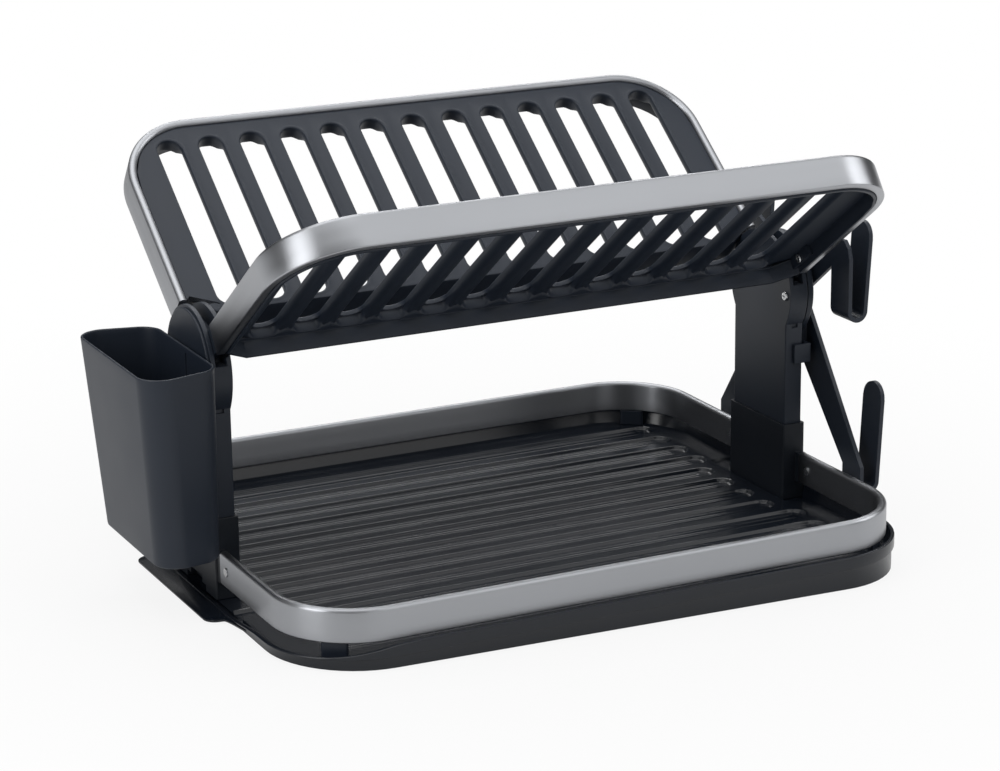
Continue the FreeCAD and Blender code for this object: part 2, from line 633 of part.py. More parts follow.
def hook_profile(low, high, y_middle):
    """One hook: down-leg, turned bottom and leaning up-leg with a full round end."""
    x0, x1 = ARM_IN, ARM_OUT
    radius_in = HOOK_GAP / 2
    radius_out = radius_in + HOLDER_STRIP
    centre_x = x1 + radius_in
    centre_z = low + radius_out
    y0 = y_middle - HOLDER_WIDTH / 2
    turn = Part.makeCylinder(radius_out, HOLDER_WIDTH, V(centre_x, y0, centre_z), V(0, 1, 0))
    turn = turn.cut(Part.makeCylinder(radius_in, HOLDER_WIDTH, V(centre_x, y0, centre_z), V(0, 1, 0)))
    turn = turn.cut(box(x0 - 5, x1 + 40, y0 - 1, y0 + HOLDER_WIDTH + 1, centre_z, high))
    far = x1 + HOOK_GAP
    up = polygon_prism([V(far, y0, centre_z - 0.05), V(far + HOLDER_STRIP, y0, centre_z - 0.05),
                        V(far + HOLDER_STRIP + HOOK_LEAN, y0, high), V(far + HOOK_LEAN, y0, high)],
                       V(0, HOLDER_WIDTH, 0))
    radius = HOLDER_WIDTH / 2 - 0.2
    plan = box(x0, far + HOLDER_STRIP + HOOK_LEAN, y0, y0 + HOLDER_WIDTH, centre_z - 1, high - radius)
    cap = rod_x(x0, far + HOLDER_STRIP + HOOK_LEAN + 1, y_middle, high - radius, radius)
    up = up.common(merged([plan, cap]))
    return merged([turn, up]), centre_z


def holder_arm(points):
    """Flat strip in the plane of the holder, through the given outline of Y and Z."""
    return polygon_prism([V(ARM_IN, y, z) for y, z in points], V(HOLDER_STRIP, 0, 0))


def side_holder():
    """Clip-on holder: disc over the hub, spine with tabs round the post, four arms with hooks."""
    disc = rod_x(HOLDER_IN, HOLDER_OUT, 0, HUB_HEIGHT, HOLDER_RADIUS)
    edge = [e for e in disc.Edges if e.BoundBox.XMin > HOLDER_OUT - 0.01]
    disc = disc.makeFillet(1.5, edge)
    boss_top = HUB_HEIGHT + BOSS_HALF
    boss = rounded_block(-boss_top + TAB_LOW, 0, -BOSS_HALF, BOSS_HALF, HOLDER_IN, ARM_OUT, 6.0)
    boss.rotate(V(0, 0, 0), V(0, 1, 0), 90)
    boss.translate(V(0, 0, TAB_LOW))
    pieces = [disc, boss]
    half = HOLDER_WIDTH / 2
    upper, upper_z = hook_profile(UPPER_HOOK_LOW, UPPER_HOOK_HIGH, UPPER_HOOK_Y)
    lower, lower_z = hook_profile(LOWER_HOOK_LOW, LOWER_HOOK_HIGH, LOWER_HOOK_Y)
    leg_top = HUB_HEIGHT + 46.0
    y0, y1 = UPPER_HOOK_Y - half, UPPER_HOOK_Y + half
    upper_arm = holder_arm([(14, HUB_HEIGHT - 8), (y0, HUB_HEIGHT + 24), (y0, upper_z),
                            (y1, upper_z), (y1, leg_top - 13), (y1 - 2.5, leg_top - 5), (y1 - 8, leg_top),
                            (y0, leg_top - 1), (8, HUB_HEIGHT + 20)])
    y2, y3 = LOWER_HOOK_Y - half, LOWER_HOOK_Y + half
    lower_arm = holder_arm([(12, TAB_LOW + 4), (y2, lower_z + 10), (y2, lower_z), (y3, lower_z),
                            (y3, lower_z + 12), (26, TAB_HIGH + 22), (12, TAB_HIGH + 14)])
    tab_in = POST_Y + PLUG_PLAY
    tab_out = HOLDER_IN + HOLDER_STRIP
    tab = box(POST_OUT - TAB_REACH, tab_out, tab_in, tab_in + TAB_THICK, TAB_LOW, TAB_HIGH)
    bridge = box(HOLDER_IN, tab_out, 20, tab_in + TAB_THICK, TAB_LOW, TAB_HIGH)
    one_side = [upper, lower, upper_arm, lower_arm, tab, bridge]
    pieces += one_side + [mirror_y(shape) for shape in one_side]
    wall = HOLDER_STRIP
    room = box(HOLDER_IN - 1, ARM_OUT - wall, -BOSS_HALF + wall, BOSS_HALF - wall, TAB_LOW + wall,
               boss_top - wall)
    return merged(pieces).cut(room)


def tip(shape):
    """Carry a piece from the level frame of the rack to the frame in which the tray stands flat."""
    copy = shape.copy()
    copy.rotate(V(0, 0, 0), V(0, 1, 0), -DRAIN_SLOPE)
    copy.translate(V(0, 0, TRAY_DEPTH))
    return copy


def spout():
    """Thin drain lip on the low side, flared where it leaves the tray."""
    root = -TRAY_X + RIM_INSET + 1.5
    edge = -TRAY_X - SPOUT_REACH
    high = -TRAY_FLOOR - CHANNEL_DEPTH
    low = high - SPOUT_THICK
    half = SPOUT_HALF + SPOUT_FLARE * 0.6
    plate = rounded_block(edge, root + 10, -half, half, low, high, 9.0)
    plate = plate.cut(box(root, root + 20, -half - 1, half + 1, low - 1, high + 1))
    flares = []
    for side in (-1, 1):
        flares.append(polygon_prism([
            V(root, side * (half - 1), low), V(-TRAY_X - 8.0, side * (half - 1), low),
            V(-TRAY_X - 3.0, side * 82.0, low), V(root, side * (SPOUT_HALF + SPOUT_FLARE * 2.4), low)],
            V(0, 0, high - low)))
    return merged([plate] + flares)


def rim_height(x):
    """Height of the tray's rim along X: level, then eased down towards the spout side."""
    t = min(1.0, max(0.0, (-x - DIP_START) / (TRAY_X - DIP_START - 8.0)))
    return -RIM_GAP - RIM_DIP * math.sin(t * math.pi / 2) ** 1.6


def dip_cutter():
    """Block above the eased rim on the low side of the tray."""
    start, end = -DIP_START, -TRAY_X - 1.0
    steps = 14
    points = [V(start + (end - start) * k / steps, -TRAY_Y - 5, 0) for k in range(steps + 1)]
    points = [V(p.x, p.y, rim_height(p.x)) for p in points]
    top = [V(end, -TRAY_Y - 5, 5), V(start, -TRAY_Y - 5, 5)]
    return polygon_prism(points + top, V(0, 2 * TRAY_Y + 10, 0))


def drip_tray():
    """Wedge-shaped tray: level rim and floor, skirt down to the counter, channels and a spout."""
    band_low = -RIM_GAP - RIM_BAND
    rim = rounded_block(-TRAY_X, TRAY_X, -TRAY_Y, TRAY_Y, band_low, -RIM_GAP, TRAY_CORNER)
    top_edges = [e for e in rim.Edges if e.BoundBox.ZMin > -RIM_GAP - 0.01]
    rim = rim.makeFillet(1.0, top_edges)
    skirt_x, skirt_y = TRAY_X - RIM_INSET, TRAY_Y - RIM_INSET
    skirt = rounded_block(-skirt_x, skirt_x, -skirt_y, skirt_y, -TRAY_DEPTH - 10, band_low + 0.5,
                          TRAY_CORNER - RIM_INSET)
    body = merged([rim, skirt])
    inner_x, inner_y = TRAY_X - RIM_WIDTH, TRAY_Y - RIM_WIDTH
    inner_corner = TRAY_CORNER - RIM_WIDTH
    slope = FLOOR_SLOPE_IN
    mouth = rounded_face(-inner_x, inner_x, -inner_y, inner_y, inner_corner, -RIM_GAP + 0.5).OuterWire
    bed = rounded_face(-inner_x + slope, inner_x - slope, -inner_y + slope, inner_y - slope,
                       inner_corner - slope, -TRAY_FLOOR).OuterWire
    body = body.cut(Part.makeLoft([bed, mouth], True, True))
    bottom = -TRAY_FLOOR - CHANNEL_DEPTH
    seat_x = (SLEEVE_IN + SLEEVE_OUT) / 2
    seat_half = (SLEEVE_OUT - SLEEVE_IN) / 2 + SEAT_MARGIN
    for side in (-1, 1):
        body = body.cut(rounded_block(side * seat_x - seat_half, side * seat_x + seat_half,
                                      -SLEEVE_Y - 4, SLEEVE_Y + 4, -SLEEVE_SEAT, 5, 3.0))
    body = body.cut(dip_cutter())
    body = body.cut(box(-TRAY_X - 1, -seat_x, -SPOUT_HALF, SPOUT_HALF, -SLEEVE_SEAT, 5))
    body = merged([body, spout()])
    for index in range(CHANNEL_COUNT):
        y = (index - (CHANNEL_COUNT - 1) / 2) * CHANNEL_PITCH
        by_sleeve = abs(y) - CHANNEL_WIDTH / 2 < SLEEVE_Y + 4
        end = CHANNEL_END_BY_SLEEVE if by_sleeve else CHANNEL_END
        body = body.cut(rounded_block(-GUTTER_NEAR - CHANNEL_WIDTH, end, y - CHANNEL_WIDTH / 2,
                                      y + CHANNEL_WIDTH / 2, bottom, 1, CHANNEL_WIDTH / 2)
                        .common(box(-GUTTER_NEAR, FRAME_X, -TRAY_Y, TRAY_Y, bottom, 1)))
    body = body.cut(rounded_block(-GUTTER_FAR, -GUTTER_NEAR + 0.5, -TRAY_Y + 26, TRAY_Y - 26, bottom, 1, 5.0))
    outlets = [(-OUTLET_HALF, OUTLET_HALF), (SLEEVE_Y + 5, SPOUT_HALF), (-SPOUT_HALF, -SLEEVE_Y - 5)]
    for y0, y1 in outlets:
        body = body.cut(box(-TRAY_X - 1, -GUTTER_FAR + 1, y0, y1, bottom, 1))
    hollow_top = -TRAY_FLOOR - FLOOR_THICK
    wall = TRAY_WALL + RIM_INSET
    hollow = rounded_block(-TRAY_X + wall, TRAY_X - wall, -TRAY_Y + wall, TRAY_Y - wall,
                           -TRAY_DEPTH - 12, hollow_top, TRAY_CORNER - wall)
    bosses = [Part.makeCylinder(PAD_RADIUS + 2, 30, V(x, y, hollow_top - 30))
              for x, y in pad_places()]
    hollow = hollow.cut(merged(bosses))
    body = tip(body.cut(hollow))
    body = body.cut(box(-2 * TRAY_X, 2 * TRAY_X, -2 * TRAY_Y, 2 * TRAY_Y, -3 * TRAY_DEPTH, PAD_STAND))
    for x, y in pad_places():
        body = body.cut(Part.makeCylinder(PAD_RADIUS, PAD_THICK + 1, V(x, y, -1)))
    return body


def pad_places():
    """X and Y of the pads: one under the middle and one towards each corner."""
    return [(0, 0)] + [(sx * PAD_X, sy * PAD_Y) for sx in (-1, 1) for sy in (-1, 1)]


def tray_pads():
    """Round anti-slip pads that the tray stands on."""
    return Part.makeCompound([Part.makeCylinder(PAD_RADIUS, PAD_THICK, V(x, y, 0))
                              for x, y in pad_places()])


def build():
    """All pieces by node name, in the frame in which the tray stands flat."""
    half = drill_rivets(frame_half())
    sleeve, post = right_sleeve(), right_post()
    cover, pin, stop = right_hub_cover(), right_hinge_pin(), right_stop_pin()
    level = {
        "lower_frame_back": half,
        "lower_frame_front": half_turn(half),
        "right_sleeve": sleeve,
        "left_sleeve": mirror_x(sleeve),
        "frame_rivets": rivets(),
        "frame_corner_feet": corner_feet(),
        "right_post": post,
        "left_post": mirror_x(post),
        "right_hub_cover": cover,
        "left_hub_cover": mirror_x(cover),
        "right_hinge_pin": pin,
        "left_hinge_pin": mirror_x(pin),
        "right_stop_pin": stop,
        "left_stop_pin": mirror_x(stop),
        "cheek_screws": cheek_screws(),
        "cup_bracket": cup_bracket(),
        "cutlery_holder": cutlery_holder(),
        "side_holder": side_holder(),
    }
    grid, rail, screws = wing_grid(), wing_rail(), wing_screws()
    sides = {"back_wing": ("right", "left"), "front_wing": ("left", "right")}
    for name, labels in sides.items():
        level[name + "_grid"] = place_wing(grid, name)
        level[name + "_rail"] = place_wing(rail, name)
        level[name + "_screws"] = place_wing(screws, name)
        for side, layer, label in ((1, LAYER_OUT, labels[0]), (-1, LAYER_IN, labels[1])):
            bracket = wing_bracket(side, layer, WING_REST[name], WING_SHIFT[name])
            level[name + "_" + label + "_bracket"] = place_wing(bracket, name)
    nodes = {name: tip(shape) for name, shape in level.items()}
    nodes["drip_tray"] = drip_tray()
    nodes["tray_pads"] = tray_pads()
    return nodes


os.makedirs("parts", exist_ok=True)
for node, shape in sorted(build().items()):
    shape.exportStep("parts/" + node + ".step")
    bounds = shape.BoundBox
    print("%-26s solids %2d  valid %s  volume %10.0f  x %7.1f %7.1f  y %7.1f %7.1f  z %6.1f %6.1f" % (
        node, len(shape.Solids), shape.isValid(), shape.Volume, bounds.XMin, bounds.XMax,
        bounds.YMin, bounds.YMax, bounds.ZMin, bounds.ZMax))
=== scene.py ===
"""Two-tier dish rack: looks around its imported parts, light, floor and camera."""
import bmesh
import bpy
import json
import math
import numpy as np
from mathutils import Matrix, Vector


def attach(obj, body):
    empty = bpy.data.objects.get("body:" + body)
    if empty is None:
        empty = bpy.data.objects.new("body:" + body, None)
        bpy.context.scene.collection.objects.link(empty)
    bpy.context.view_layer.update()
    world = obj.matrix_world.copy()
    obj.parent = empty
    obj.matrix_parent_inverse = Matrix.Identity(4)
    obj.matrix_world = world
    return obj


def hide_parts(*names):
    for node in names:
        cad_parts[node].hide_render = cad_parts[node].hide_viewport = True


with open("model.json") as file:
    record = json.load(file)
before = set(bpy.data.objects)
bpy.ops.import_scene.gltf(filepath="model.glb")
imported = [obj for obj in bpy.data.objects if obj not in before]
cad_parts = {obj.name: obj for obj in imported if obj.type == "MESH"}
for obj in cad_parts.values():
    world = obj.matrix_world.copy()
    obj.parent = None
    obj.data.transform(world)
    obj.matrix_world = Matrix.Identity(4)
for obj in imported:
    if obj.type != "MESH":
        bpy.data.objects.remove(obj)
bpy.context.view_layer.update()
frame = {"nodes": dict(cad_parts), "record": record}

# The rack's level frame in millimetres: X along the long side, Y away from the user, Z up from
# the underside of the lower rails. The tray under it is a wedge, so the rack stands tipped.
DRAIN_SLOPE = math.radians(1.1)
TRAY_DEPTH = 21.0
HUB_HEIGHT = 141.0
# Each wing's angle above level at rest, and how far it sits off centre along X.
WING_ANGLE = {"front_wing": math.radians(36.0), "back_wing": math.radians(36.8)}
WING_SHIFT = {"front_wing": 0.0, "back_wing": 3.0}

RAIL_HEIGHT = 23.0
RAIL_THICK = 6.0
RAIL_TOP_ROUND = 2.8
RAIL_BOTTOM_ROUND = 1.0
BEND_STEPS = 28
FRAME_HALF = (230.0, 192.0)
FRAME_CORNER = 60.0
FRAME_END = 43.0
WING_HALF = 227.0
WING_REACH = 210.0
WING_CORNER = 56.0
WING_RAIL_START = 47.6

# Weld steps in a millimetre, and the share of a step by which their borders are moved.
WELD_STEPS = 100
WELD_SHIFT = 0.37


def tipped(points):
    """Level rack frame in mm to the row frame in m.

    A turn about Y by the drain slope lifts the +X side, then all goes up by the tray's depth.
    """
    c, s = math.cos(DRAIN_SLOPE), math.sin(DRAIN_SLOPE)
    turn = np.array([[c, 0, -s], [0, 1, 0], [s, 0, c]])
    return (points @ turn.T + np.array([0, 0, TRAY_DEPTH])) / 1000


def on_wing(points, wing):
    """Wing's own frame (x, reach, normal) in mm to the level rack frame.

    A turn about the hinge by the wing's angle, then up to the hinge; the front wing then makes half a
    turn about the upright axis.
    """
    c, s = math.cos(WING_ANGLE[wing]), math.sin(WING_ANGLE[wing])
    tilt = np.array([[1, 0, 0], [0, c, -s], [0, s, c]])
    placed = (points + np.array([WING_SHIFT[wing], 0, 0])) @ tilt.T + np.array([0, 0, HUB_HEIGHT])
    return placed * np.array([-1, -1, 1]) if wing == "front_wing" else placed


def arc(centre, radius, start, end, steps):
    """Points centre + radius * (cos a, sin a) for a from start to end in degrees."""
    a = np.radians(np.linspace(start, end, steps + 1))
    return np.stack([centre[0] + radius * np.cos(a), centre[1] + radius * np.sin(a)], axis=1)


def smooth(t):
    """Eased step from 0 to 1: 3 t^2 - 2 t^3."""
    t = np.clip(t, 0, 1)
    return t * t * (3 - 2 * t)


def stacked(flat, height):
    """Rings of (x, y) with a height for each ring or point, as (x, y, z)."""
    tall = np.broadcast_to(np.asarray(height, float), flat.shape[:-1])
    return np.concatenate([flat, tall[..., None]], axis=-1)


def grid(points, close_u=False, close_v=False):
    """Corners and four-sided faces of a sheet of points indexed (u, v).

    Face (i, j) joins the points (i, j), (i + 1, j), (i + 1, j + 1) and (i, j + 1); closing joins the last
    row or column to the first.
    """
    nu, nv = points.shape[:2]
    u = np.arange(nu if close_u else nu - 1)
    v = np.arange(nv if close_v else nv - 1)
    uu, vv = np.meshgrid(u, v, indexing="ij")
    u1, v1 = (uu + 1) % nu, (vv + 1) % nv
    faces = np.stack([uu * nv + vv, u1 * nv + vv, u1 * nv + v1, uu * nv + v1], axis=-1)
    return points.reshape(-1, 3), faces.reshape(-1, 4)


def weld(sheets):
    """One set of corners and faces from several sheets.

    Corners whose coordinates all fall in the same step become one. The steps' borders lie at an odd share
    of a step, so that no round measure falls on one.
    """
    starts = np.cumsum([0] + [len(v) for v, _ in sheets[:-1]])
    verts = np.concatenate([v for v, _ in sheets])
    faces = np.concatenate([f + start for (_, f), start in zip(sheets, starts)])
    key = np.floor(verts * WELD_STEPS + WELD_SHIFT).astype(np.int64)
    _, first, where = np.unique(key, axis=0, return_index=True, return_inverse=True)
    faces = where.reshape(-1)[faces]
    used, faces = np.unique(faces, return_inverse=True)
    return verts[first][used], faces.reshape(-1, 4)


def mesh_piece(name, sheets, place, material, body, stands_for=(), sharp=38.0, chart=None):
    """A smooth-shaded piece made of welded sheets, placed in the row frame, riding on a body.

    chart, where given, turns each face corner's point in the piece's own frame
    into a map of length by girth in metres. Faces that shrink to a line or a point are left out.
    """
    verts, faces = weld(sheets)
    rows = []
    for face in faces.tolist():
        ring = [v for k, v in enumerate(face) if v != face[k - 1]]
        if len(ring) > 2 and len(set(ring)) == len(ring):
            rows.append(ring)
    mesh = bpy.data.meshes.new(name)
    mesh.from_pydata(tipped(place(verts)).tolist(), [], rows)
    work = bmesh.new()
    work.from_mesh(mesh)
    bmesh.ops.recalc_face_normals(work, faces=work.faces)
    work.to_mesh(mesh)
    work.free()
    mesh.update()
    mesh.shade_smooth()
    mesh.set_sharp_from_angle(angle=math.radians(sharp))
    if chart:
        corner = np.zeros(len(mesh.loops), np.int32)
        mesh.loops.foreach_get("vertex_index", corner)
        layer = mesh.uv_layers.new(name="length_girth")
        layer.data.foreach_set("uv", chart(verts[corner]).astype(np.float32).ravel())
    mesh.materials.append(material)
    piece = bpy.data.objects.new(name, mesh)
    bpy.context.scene.collection.objects.link(piece)
    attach(piece, body)
    if stands_for:
        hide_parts(*stands_for)


def level(points):
    """A point already in the level rack frame stays where it is."""
    return points


def linear(hex_colour):
    """sRGB hex to linear red, green, blue and alpha 1."""
    parts = [int(hex_colour[k:k + 2], 16) / 255 for k in (1, 3, 5)]
    return [c / 12.92 if c <= 0.04045 else ((c + 0.055) / 1.055) ** 2.4 for c in parts] + [1.0]


def add(tree, kind, settings=None, links=None):
    """A node of a kind with its sockets set by name or number, and inputs linked from other nodes' outputs."""
    node = tree.nodes.new(kind)
    for key, value in (settings or {}).items():
        if isinstance(key, str) and hasattr(node, key):
            setattr(node, key, value)
        else:
            node.inputs[key].default_value = value
    for key, source in (links or {}).items():
        tree.links.new(source, node.inputs[key])
    return node


def new_material(name):
    """An empty node material with its output and Object coordinates."""
    material = bpy.data.materials.new(name)
    material.use_nodes = True
    material.node_tree.nodes.clear()
    tree = material.node_tree
    output = add(tree, "ShaderNodeOutputMaterial")
    place = add(tree, "ShaderNodeTexCoord").outputs["Object"]
    return material, tree, output, place


def moulded_plastic(name, colour, dusty, roughness, grain, edge, index=1.42, relief=0.12):
    """Injection-moulded plastic: an even colour, the fine grain of the mould, softly broken edges.

    grain is the size of the grain in mm: a real one is about 0.05 mm and is drawn coarser so that it shows.
    edge is the radius of the broken edges in m, with 0 for none, and relief the strength of the grain.
    Colour and gloss change a little over clouds about 60 mm wide, as handling leaves them.
    """
    material, tree, output, place = new_material(name)
    cloud = add(tree, "ShaderNodeTexNoise", {"Scale": 16.0, "Detail": 2.0}, {"Vector": place})
    fine = add(tree, "ShaderNodeTexNoise", {"Scale": 1000.0 / grain, "Detail": 2.0, "Roughness": 0.6},
               {"Vector": place})
    tint = add(tree, "ShaderNodeMapRange", {"From Min": 0.2, "From Max": 0.8, "To Min": 0.0, "To Max": 1.0},
               {"Value": cloud.outputs["Fac"]})
    body = add(tree, "ShaderNodeMix", {"data_type": "RGBA", 6: linear(colour), 7: linear(dusty)},
               {0: tint.outputs[0]})
    gloss = add(tree, "ShaderNodeMapRange", {"From Min": 0.1, "From Max": 0.9, "To Min": roughness - 0.05,
                                             "To Max": roughness + 0.05}, {"Value": cloud.outputs["Fac"]})
    bump = add(tree, "ShaderNodeBump", {"Strength": relief, "Distance": 0.00006},
               {"Height": fine.outputs["Fac"]})
    if edge:
        soft_edge = add(tree, "ShaderNodeBevel", {"Radius": edge, "samples": 6})
        tree.links.new(soft_edge.outputs[0], bump.inputs["Normal"])
    shader = add(tree, "ShaderNodeBsdfPrincipled", {"IOR": index}, {
        "Base Color": body.outputs[2], "Roughness": gloss.outputs[0], "Normal": bump.outputs[0]})
    tree.links.new(shader.outputs[0], output.inputs["Surface"])
    return material


# Brushing lines in a metre across the strip.
HAIR_LINES = 1400.0


def brushed_aluminium(name, colour, roughness, stretch):
    """Aluminium strip brushed along its length, then anodised: a satin sheen with hair-fine lines.

    The lines follow the piece's own map, length by girth in metres, with stretch changes in a metre along
    them; real ones are 0.05 mm apart and are drawn every 0.7 mm so that they show.
    """
    material, tree, output, place = new_material(name)
    along = add(tree, "ShaderNodeUVMap", {"uv_map": "length_girth"}).outputs[0]
    drawn = add(tree, "ShaderNodeMapping", {"Scale": (stretch, HAIR_LINES, 1.0)}, {"Vector": along})
    hair = add(tree, "ShaderNodeTexNoise", {"Scale": 1.0, "Detail": 3.0, "Roughness": 0.7},
               {"Vector": drawn.outputs[0]})
    cloud = add(tree, "ShaderNodeTexNoise", {"Scale": 9.0, "Detail": 2.0}, {"Vector": place})
    both = add(tree, "ShaderNodeMath", {"operation": "ADD"}, {0: hair.outputs["Fac"], 1: cloud.outputs["Fac"]})
    gloss = add(tree, "ShaderNodeMapRange", {"From Min": 0.4, "From Max": 1.6, "To Min": roughness - 0.06,
                                             "To Max": roughness + 0.06}, {"Value": both.outputs[0]})
    bump = add(tree, "ShaderNodeBump", {"Strength": 0.05, "Distance": 0.00003}, {"Height": hair.outputs["Fac"]})
    lengthwise = add(tree, "ShaderNodeTangent", {"direction_type": "UV_MAP", "uv_map": "length_girth"})
    shader = add(tree, "ShaderNodeBsdfPrincipled", {
        "Base Color": linear(colour), "Metallic": 1.0, "Anisotropic": 0.75, "Anisotropic Rotation": 0.25}, {
        "Roughness": gloss.outputs[0], "Normal": bump.outputs[0], "Tangent": lengthwise.outputs[0]})
    tree.links.new(shader.outputs[0], output.inputs["Surface"])
    return material


def plated_steel(name, colour, roughness):
    """Small zinc-plated fastener: bright, a little cloudy, with soft turned edges."""
    material, tree, output, place = new_material(name)
    cloud = add(tree, "ShaderNodeTexNoise", {"Scale": 420.0, "Detail": 3.0}, {"Vector": place})
    gloss = add(tree, "ShaderNodeMapRange", {"From Min": 0.2, "From Max": 0.8, "To Min": roughness - 0.06,
                                             "To Max": roughness + 0.08}, {"Value": cloud.outputs["Fac"]})
    soft_edge = add(tree, "ShaderNodeBevel", {"Radius": 0.0003, "samples": 6})
    shader = add(tree, "ShaderNodeBsdfPrincipled", {"Base Color": linear(colour), "Metallic": 1.0}, {
        "Roughness": gloss.outputs[0], "Normal": soft_edge.outputs[0]})
    tree.links.new(shader.outputs[0], output.inputs["Surface"])
    return material


# ABS from a spark-eroded mould, coloured anthracite: a dark blue-grey with a wide, soft sheen.
ANTHRACITE = moulded_plastic("moulded_abs_anthracite", "#1C232E", "#212833", 0.45, 0.5, 0.0008, 1.42)
# Polypropylene from the same kind of mould, coloured black: deeper than the posts, with the same sheen.
DEEP_BLACK = moulded_plastic("moulded_pp_black", "#151A21", "#191E26", 0.46, 0.5, 0.0008, 1.4)
# Polypropylene from a polished mould: nearly black, glossy enough for lamp light to run along its ribs.
TRAY_PLASTIC = moulded_plastic("moulded_pp_tray", "#10151D", "#141921", 0.2, 1.2, 0.0, 1.48, 0.01)
# Aluminium strip, brushed lengthwise and anodised: satin grey, its highlights drawn out across the lines.
SATIN = brushed_aluminium("brushed_anodised_aluminium", "#A8AAAE", 0.35, 9.0)
# Steel, turned and zinc plated: small, bright and a little cloudy.
STEEL = plated_steel("zinc_plated_steel", "#D2D3D4", 0.22)
# Rubber pressed in a plain mould: black and matt.
RUBBER = moulded_plastic("moulded_rubber", "#121419", "#16181D", 0.75, 0.8, 0.0003, 1.36)

FINISH = {"anthracite_plastic": ANTHRACITE, "black_plastic": DEEP_BLACK, "satin_aluminium": SATIN,
          "bright_steel": STEEL, "soft_rubber": RUBBER}
slots = {entry["node"]: entry["material_slot"] for entry in frame["record"]["subparts"]}
for node, piece in frame["nodes"].items():
    finish = ANTHRACITE if node == "frame_corner_feet" else FINISH[slots[node]]
    piece.data.materials.clear()
    piece.data.materials.append(finish)


def rail_section():
    """Outline of the flat tube, as (inward, up) from its outer bottom corner, round on top."""
    t, h, top, bottom = RAIL_THICK, RAIL_HEIGHT, RAIL_TOP_ROUND, RAIL_BOTTOM_ROUND
    return np.concatenate([
        arc((bottom, bottom), bottom, 270, 180, 3), [[0, h * 0.35], [0, h * 0.6]],
        arc((top, h - top), top, 180, 90, 6), arc((t - top, h - top), top, 90, 0, 6),
        [[t, h * 0.6], [t, h * 0.35]], arc((t - bottom, bottom), bottom, 0, -90, 3)])


def u_core(points, half_x, reach, corner):
    """The nearest point to each one on the line that runs through the centres of a U's bends."""
    return np.stack([np.clip(points[:, 0], corner - half_x, half_x - corner),
                     np.minimum(points[:, 1], reach - corner)], 1)


def u_path(half_x, reach, corner, start):
    """Outer line of a U from (half_x, start) round to (-half_x, start), with its outward normals.

    A normal points from the line through the bends' centres to the outer line.
    """
    right = arc((half_x - corner, reach - corner), corner, 0, 90, BEND_STEPS)
    left = arc((-half_x + corner, reach - corner), corner, 90, 180, BEND_STEPS)
    across = np.linspace(half_x - corner, -half_x + corner, 9)[1:-1]
    leg = np.linspace(start, reach - corner, 5)[:-1]
    points = np.concatenate([
        np.stack([np.full_like(leg, half_x), leg], 1), right,
        np.stack([across, np.full_like(across, reach)], 1), left,
        np.stack([np.full_like(leg, -half_x), leg[::-1]], 1)])
    normals = points - u_core(points, half_x, reach, corner)
    return points, normals / np.linalg.norm(normals, axis=1, keepdims=True)


def rail_sheets(half_x, reach, corner, start):
    """Section carried along the U: path - inward * normal, and up.

    Both ends are closed by rings that shrink to the section's middle.
    """
    line, normal = u_path(half_x, reach, corner, start)
    section = rail_section()
    flat = line[:, None, :] - section[None, :, 0:1] * normal[:, None, :]
    up = np.broadcast_to(section[None, :, 1:2], flat.shape[:2] + (1,))
    skin = np.concatenate([flat, up], axis=2)
    sheets = [grid(skin, close_v=True)]
    for end in (0, -1):
        loop = skin[end]
        middle = loop.mean(axis=0)
        core = middle + (loop - middle) * 0.5
        sheets.append(grid(np.stack([loop, core, np.broadcast_to(middle, loop.shape)]), close_v=True))
    return sheets


def turned(points):
    """Half a turn about the upright axis."""
    return points * np.array([-1, -1, 1])


def rail_chart(half_x, reach, corner):
    """Map of a U-bent rail, as a function of its points.

    Along it, the run plus the bend's angle times its radius; across it, height plus distance from the
    line through the bends' centres.
    """
    def chart(points):
        core = u_core(points, half_x, reach, corner)
        out = points[:, :2] - core
        bend = np.arctan2(out[:, 0], np.maximum(out[:, 1], 1e-6)) * corner
        along = core[:, 0] + bend - np.sign(points[:, 0]) * (core[:, 1] - (reach - corner))
        return np.stack([along, points[:, 2] + np.hypot(out[:, 0], out[:, 1])], 1) / 1000
    return chart


lower = rail_sheets(FRAME_HALF[0], FRAME_HALF[1], FRAME_CORNER, FRAME_END)
lower_chart = rail_chart(FRAME_HALF[0], FRAME_HALF[1], FRAME_CORNER)
mesh_piece("lower_rail_back", lower, level, SATIN, "lower_rack", ["lower_frame_back"],
           chart=lower_chart)
mesh_piece("lower_rail_front", lower, turned, SATIN, "lower_rack", ["lower_frame_front"],
           chart=lower_chart)

upper = rail_sheets(WING_HALF, WING_REACH, WING_CORNER, WING_RAIL_START)
upper = [(v - np.array([0, 0, RAIL_HEIGHT / 2]), f) for v, f in upper]
for name in ("back_wing", "front_wing"):
    mesh_piece(name + "_rim", upper, lambda p, wing=name: on_wing(p, wing), SATIN, name,
               [name + "_rail"], chart=rail_chart(WING_HALF, WING_REACH, WING_CORNER))


# Wing grid, in its wing's own frame: x along the hinge, d away from it, m out of the plate.
GRID_X = 220.8
GRID_REACH = 203.8
GRID_CORNER = 49.8
GRID_START = 36.0
GRID_TOP = 9.0
GRID_PLATE = 3.0
GRID_MARGIN = 3.0
# Outside EAR_X the plate begins further from the hinge, at EAR_START, to clear the brackets; points of the
# hinge side nearer to EAR_X than EAR_CATCH, or outside it, move to it.
EAR_START = 49.0
EAR_X = 203.0
EAR_CATCH = 8.0
UNDERSIDE = -1.0
BAR_LOW = 1.5
SKIRT_LOW = -12.5
SLOT_COUNT = 13
SLOT_PITCH = 31.3
MIDDLE_EXTRA = 1.6
SLOT_HALF = 9.2
SLOT_START = 41.0
SLOT_END = 192.0
SIDE_POINTS = 9
END_STEPS = 16
POCKET_START = 40.0
POCKET_ROUND = 5.0
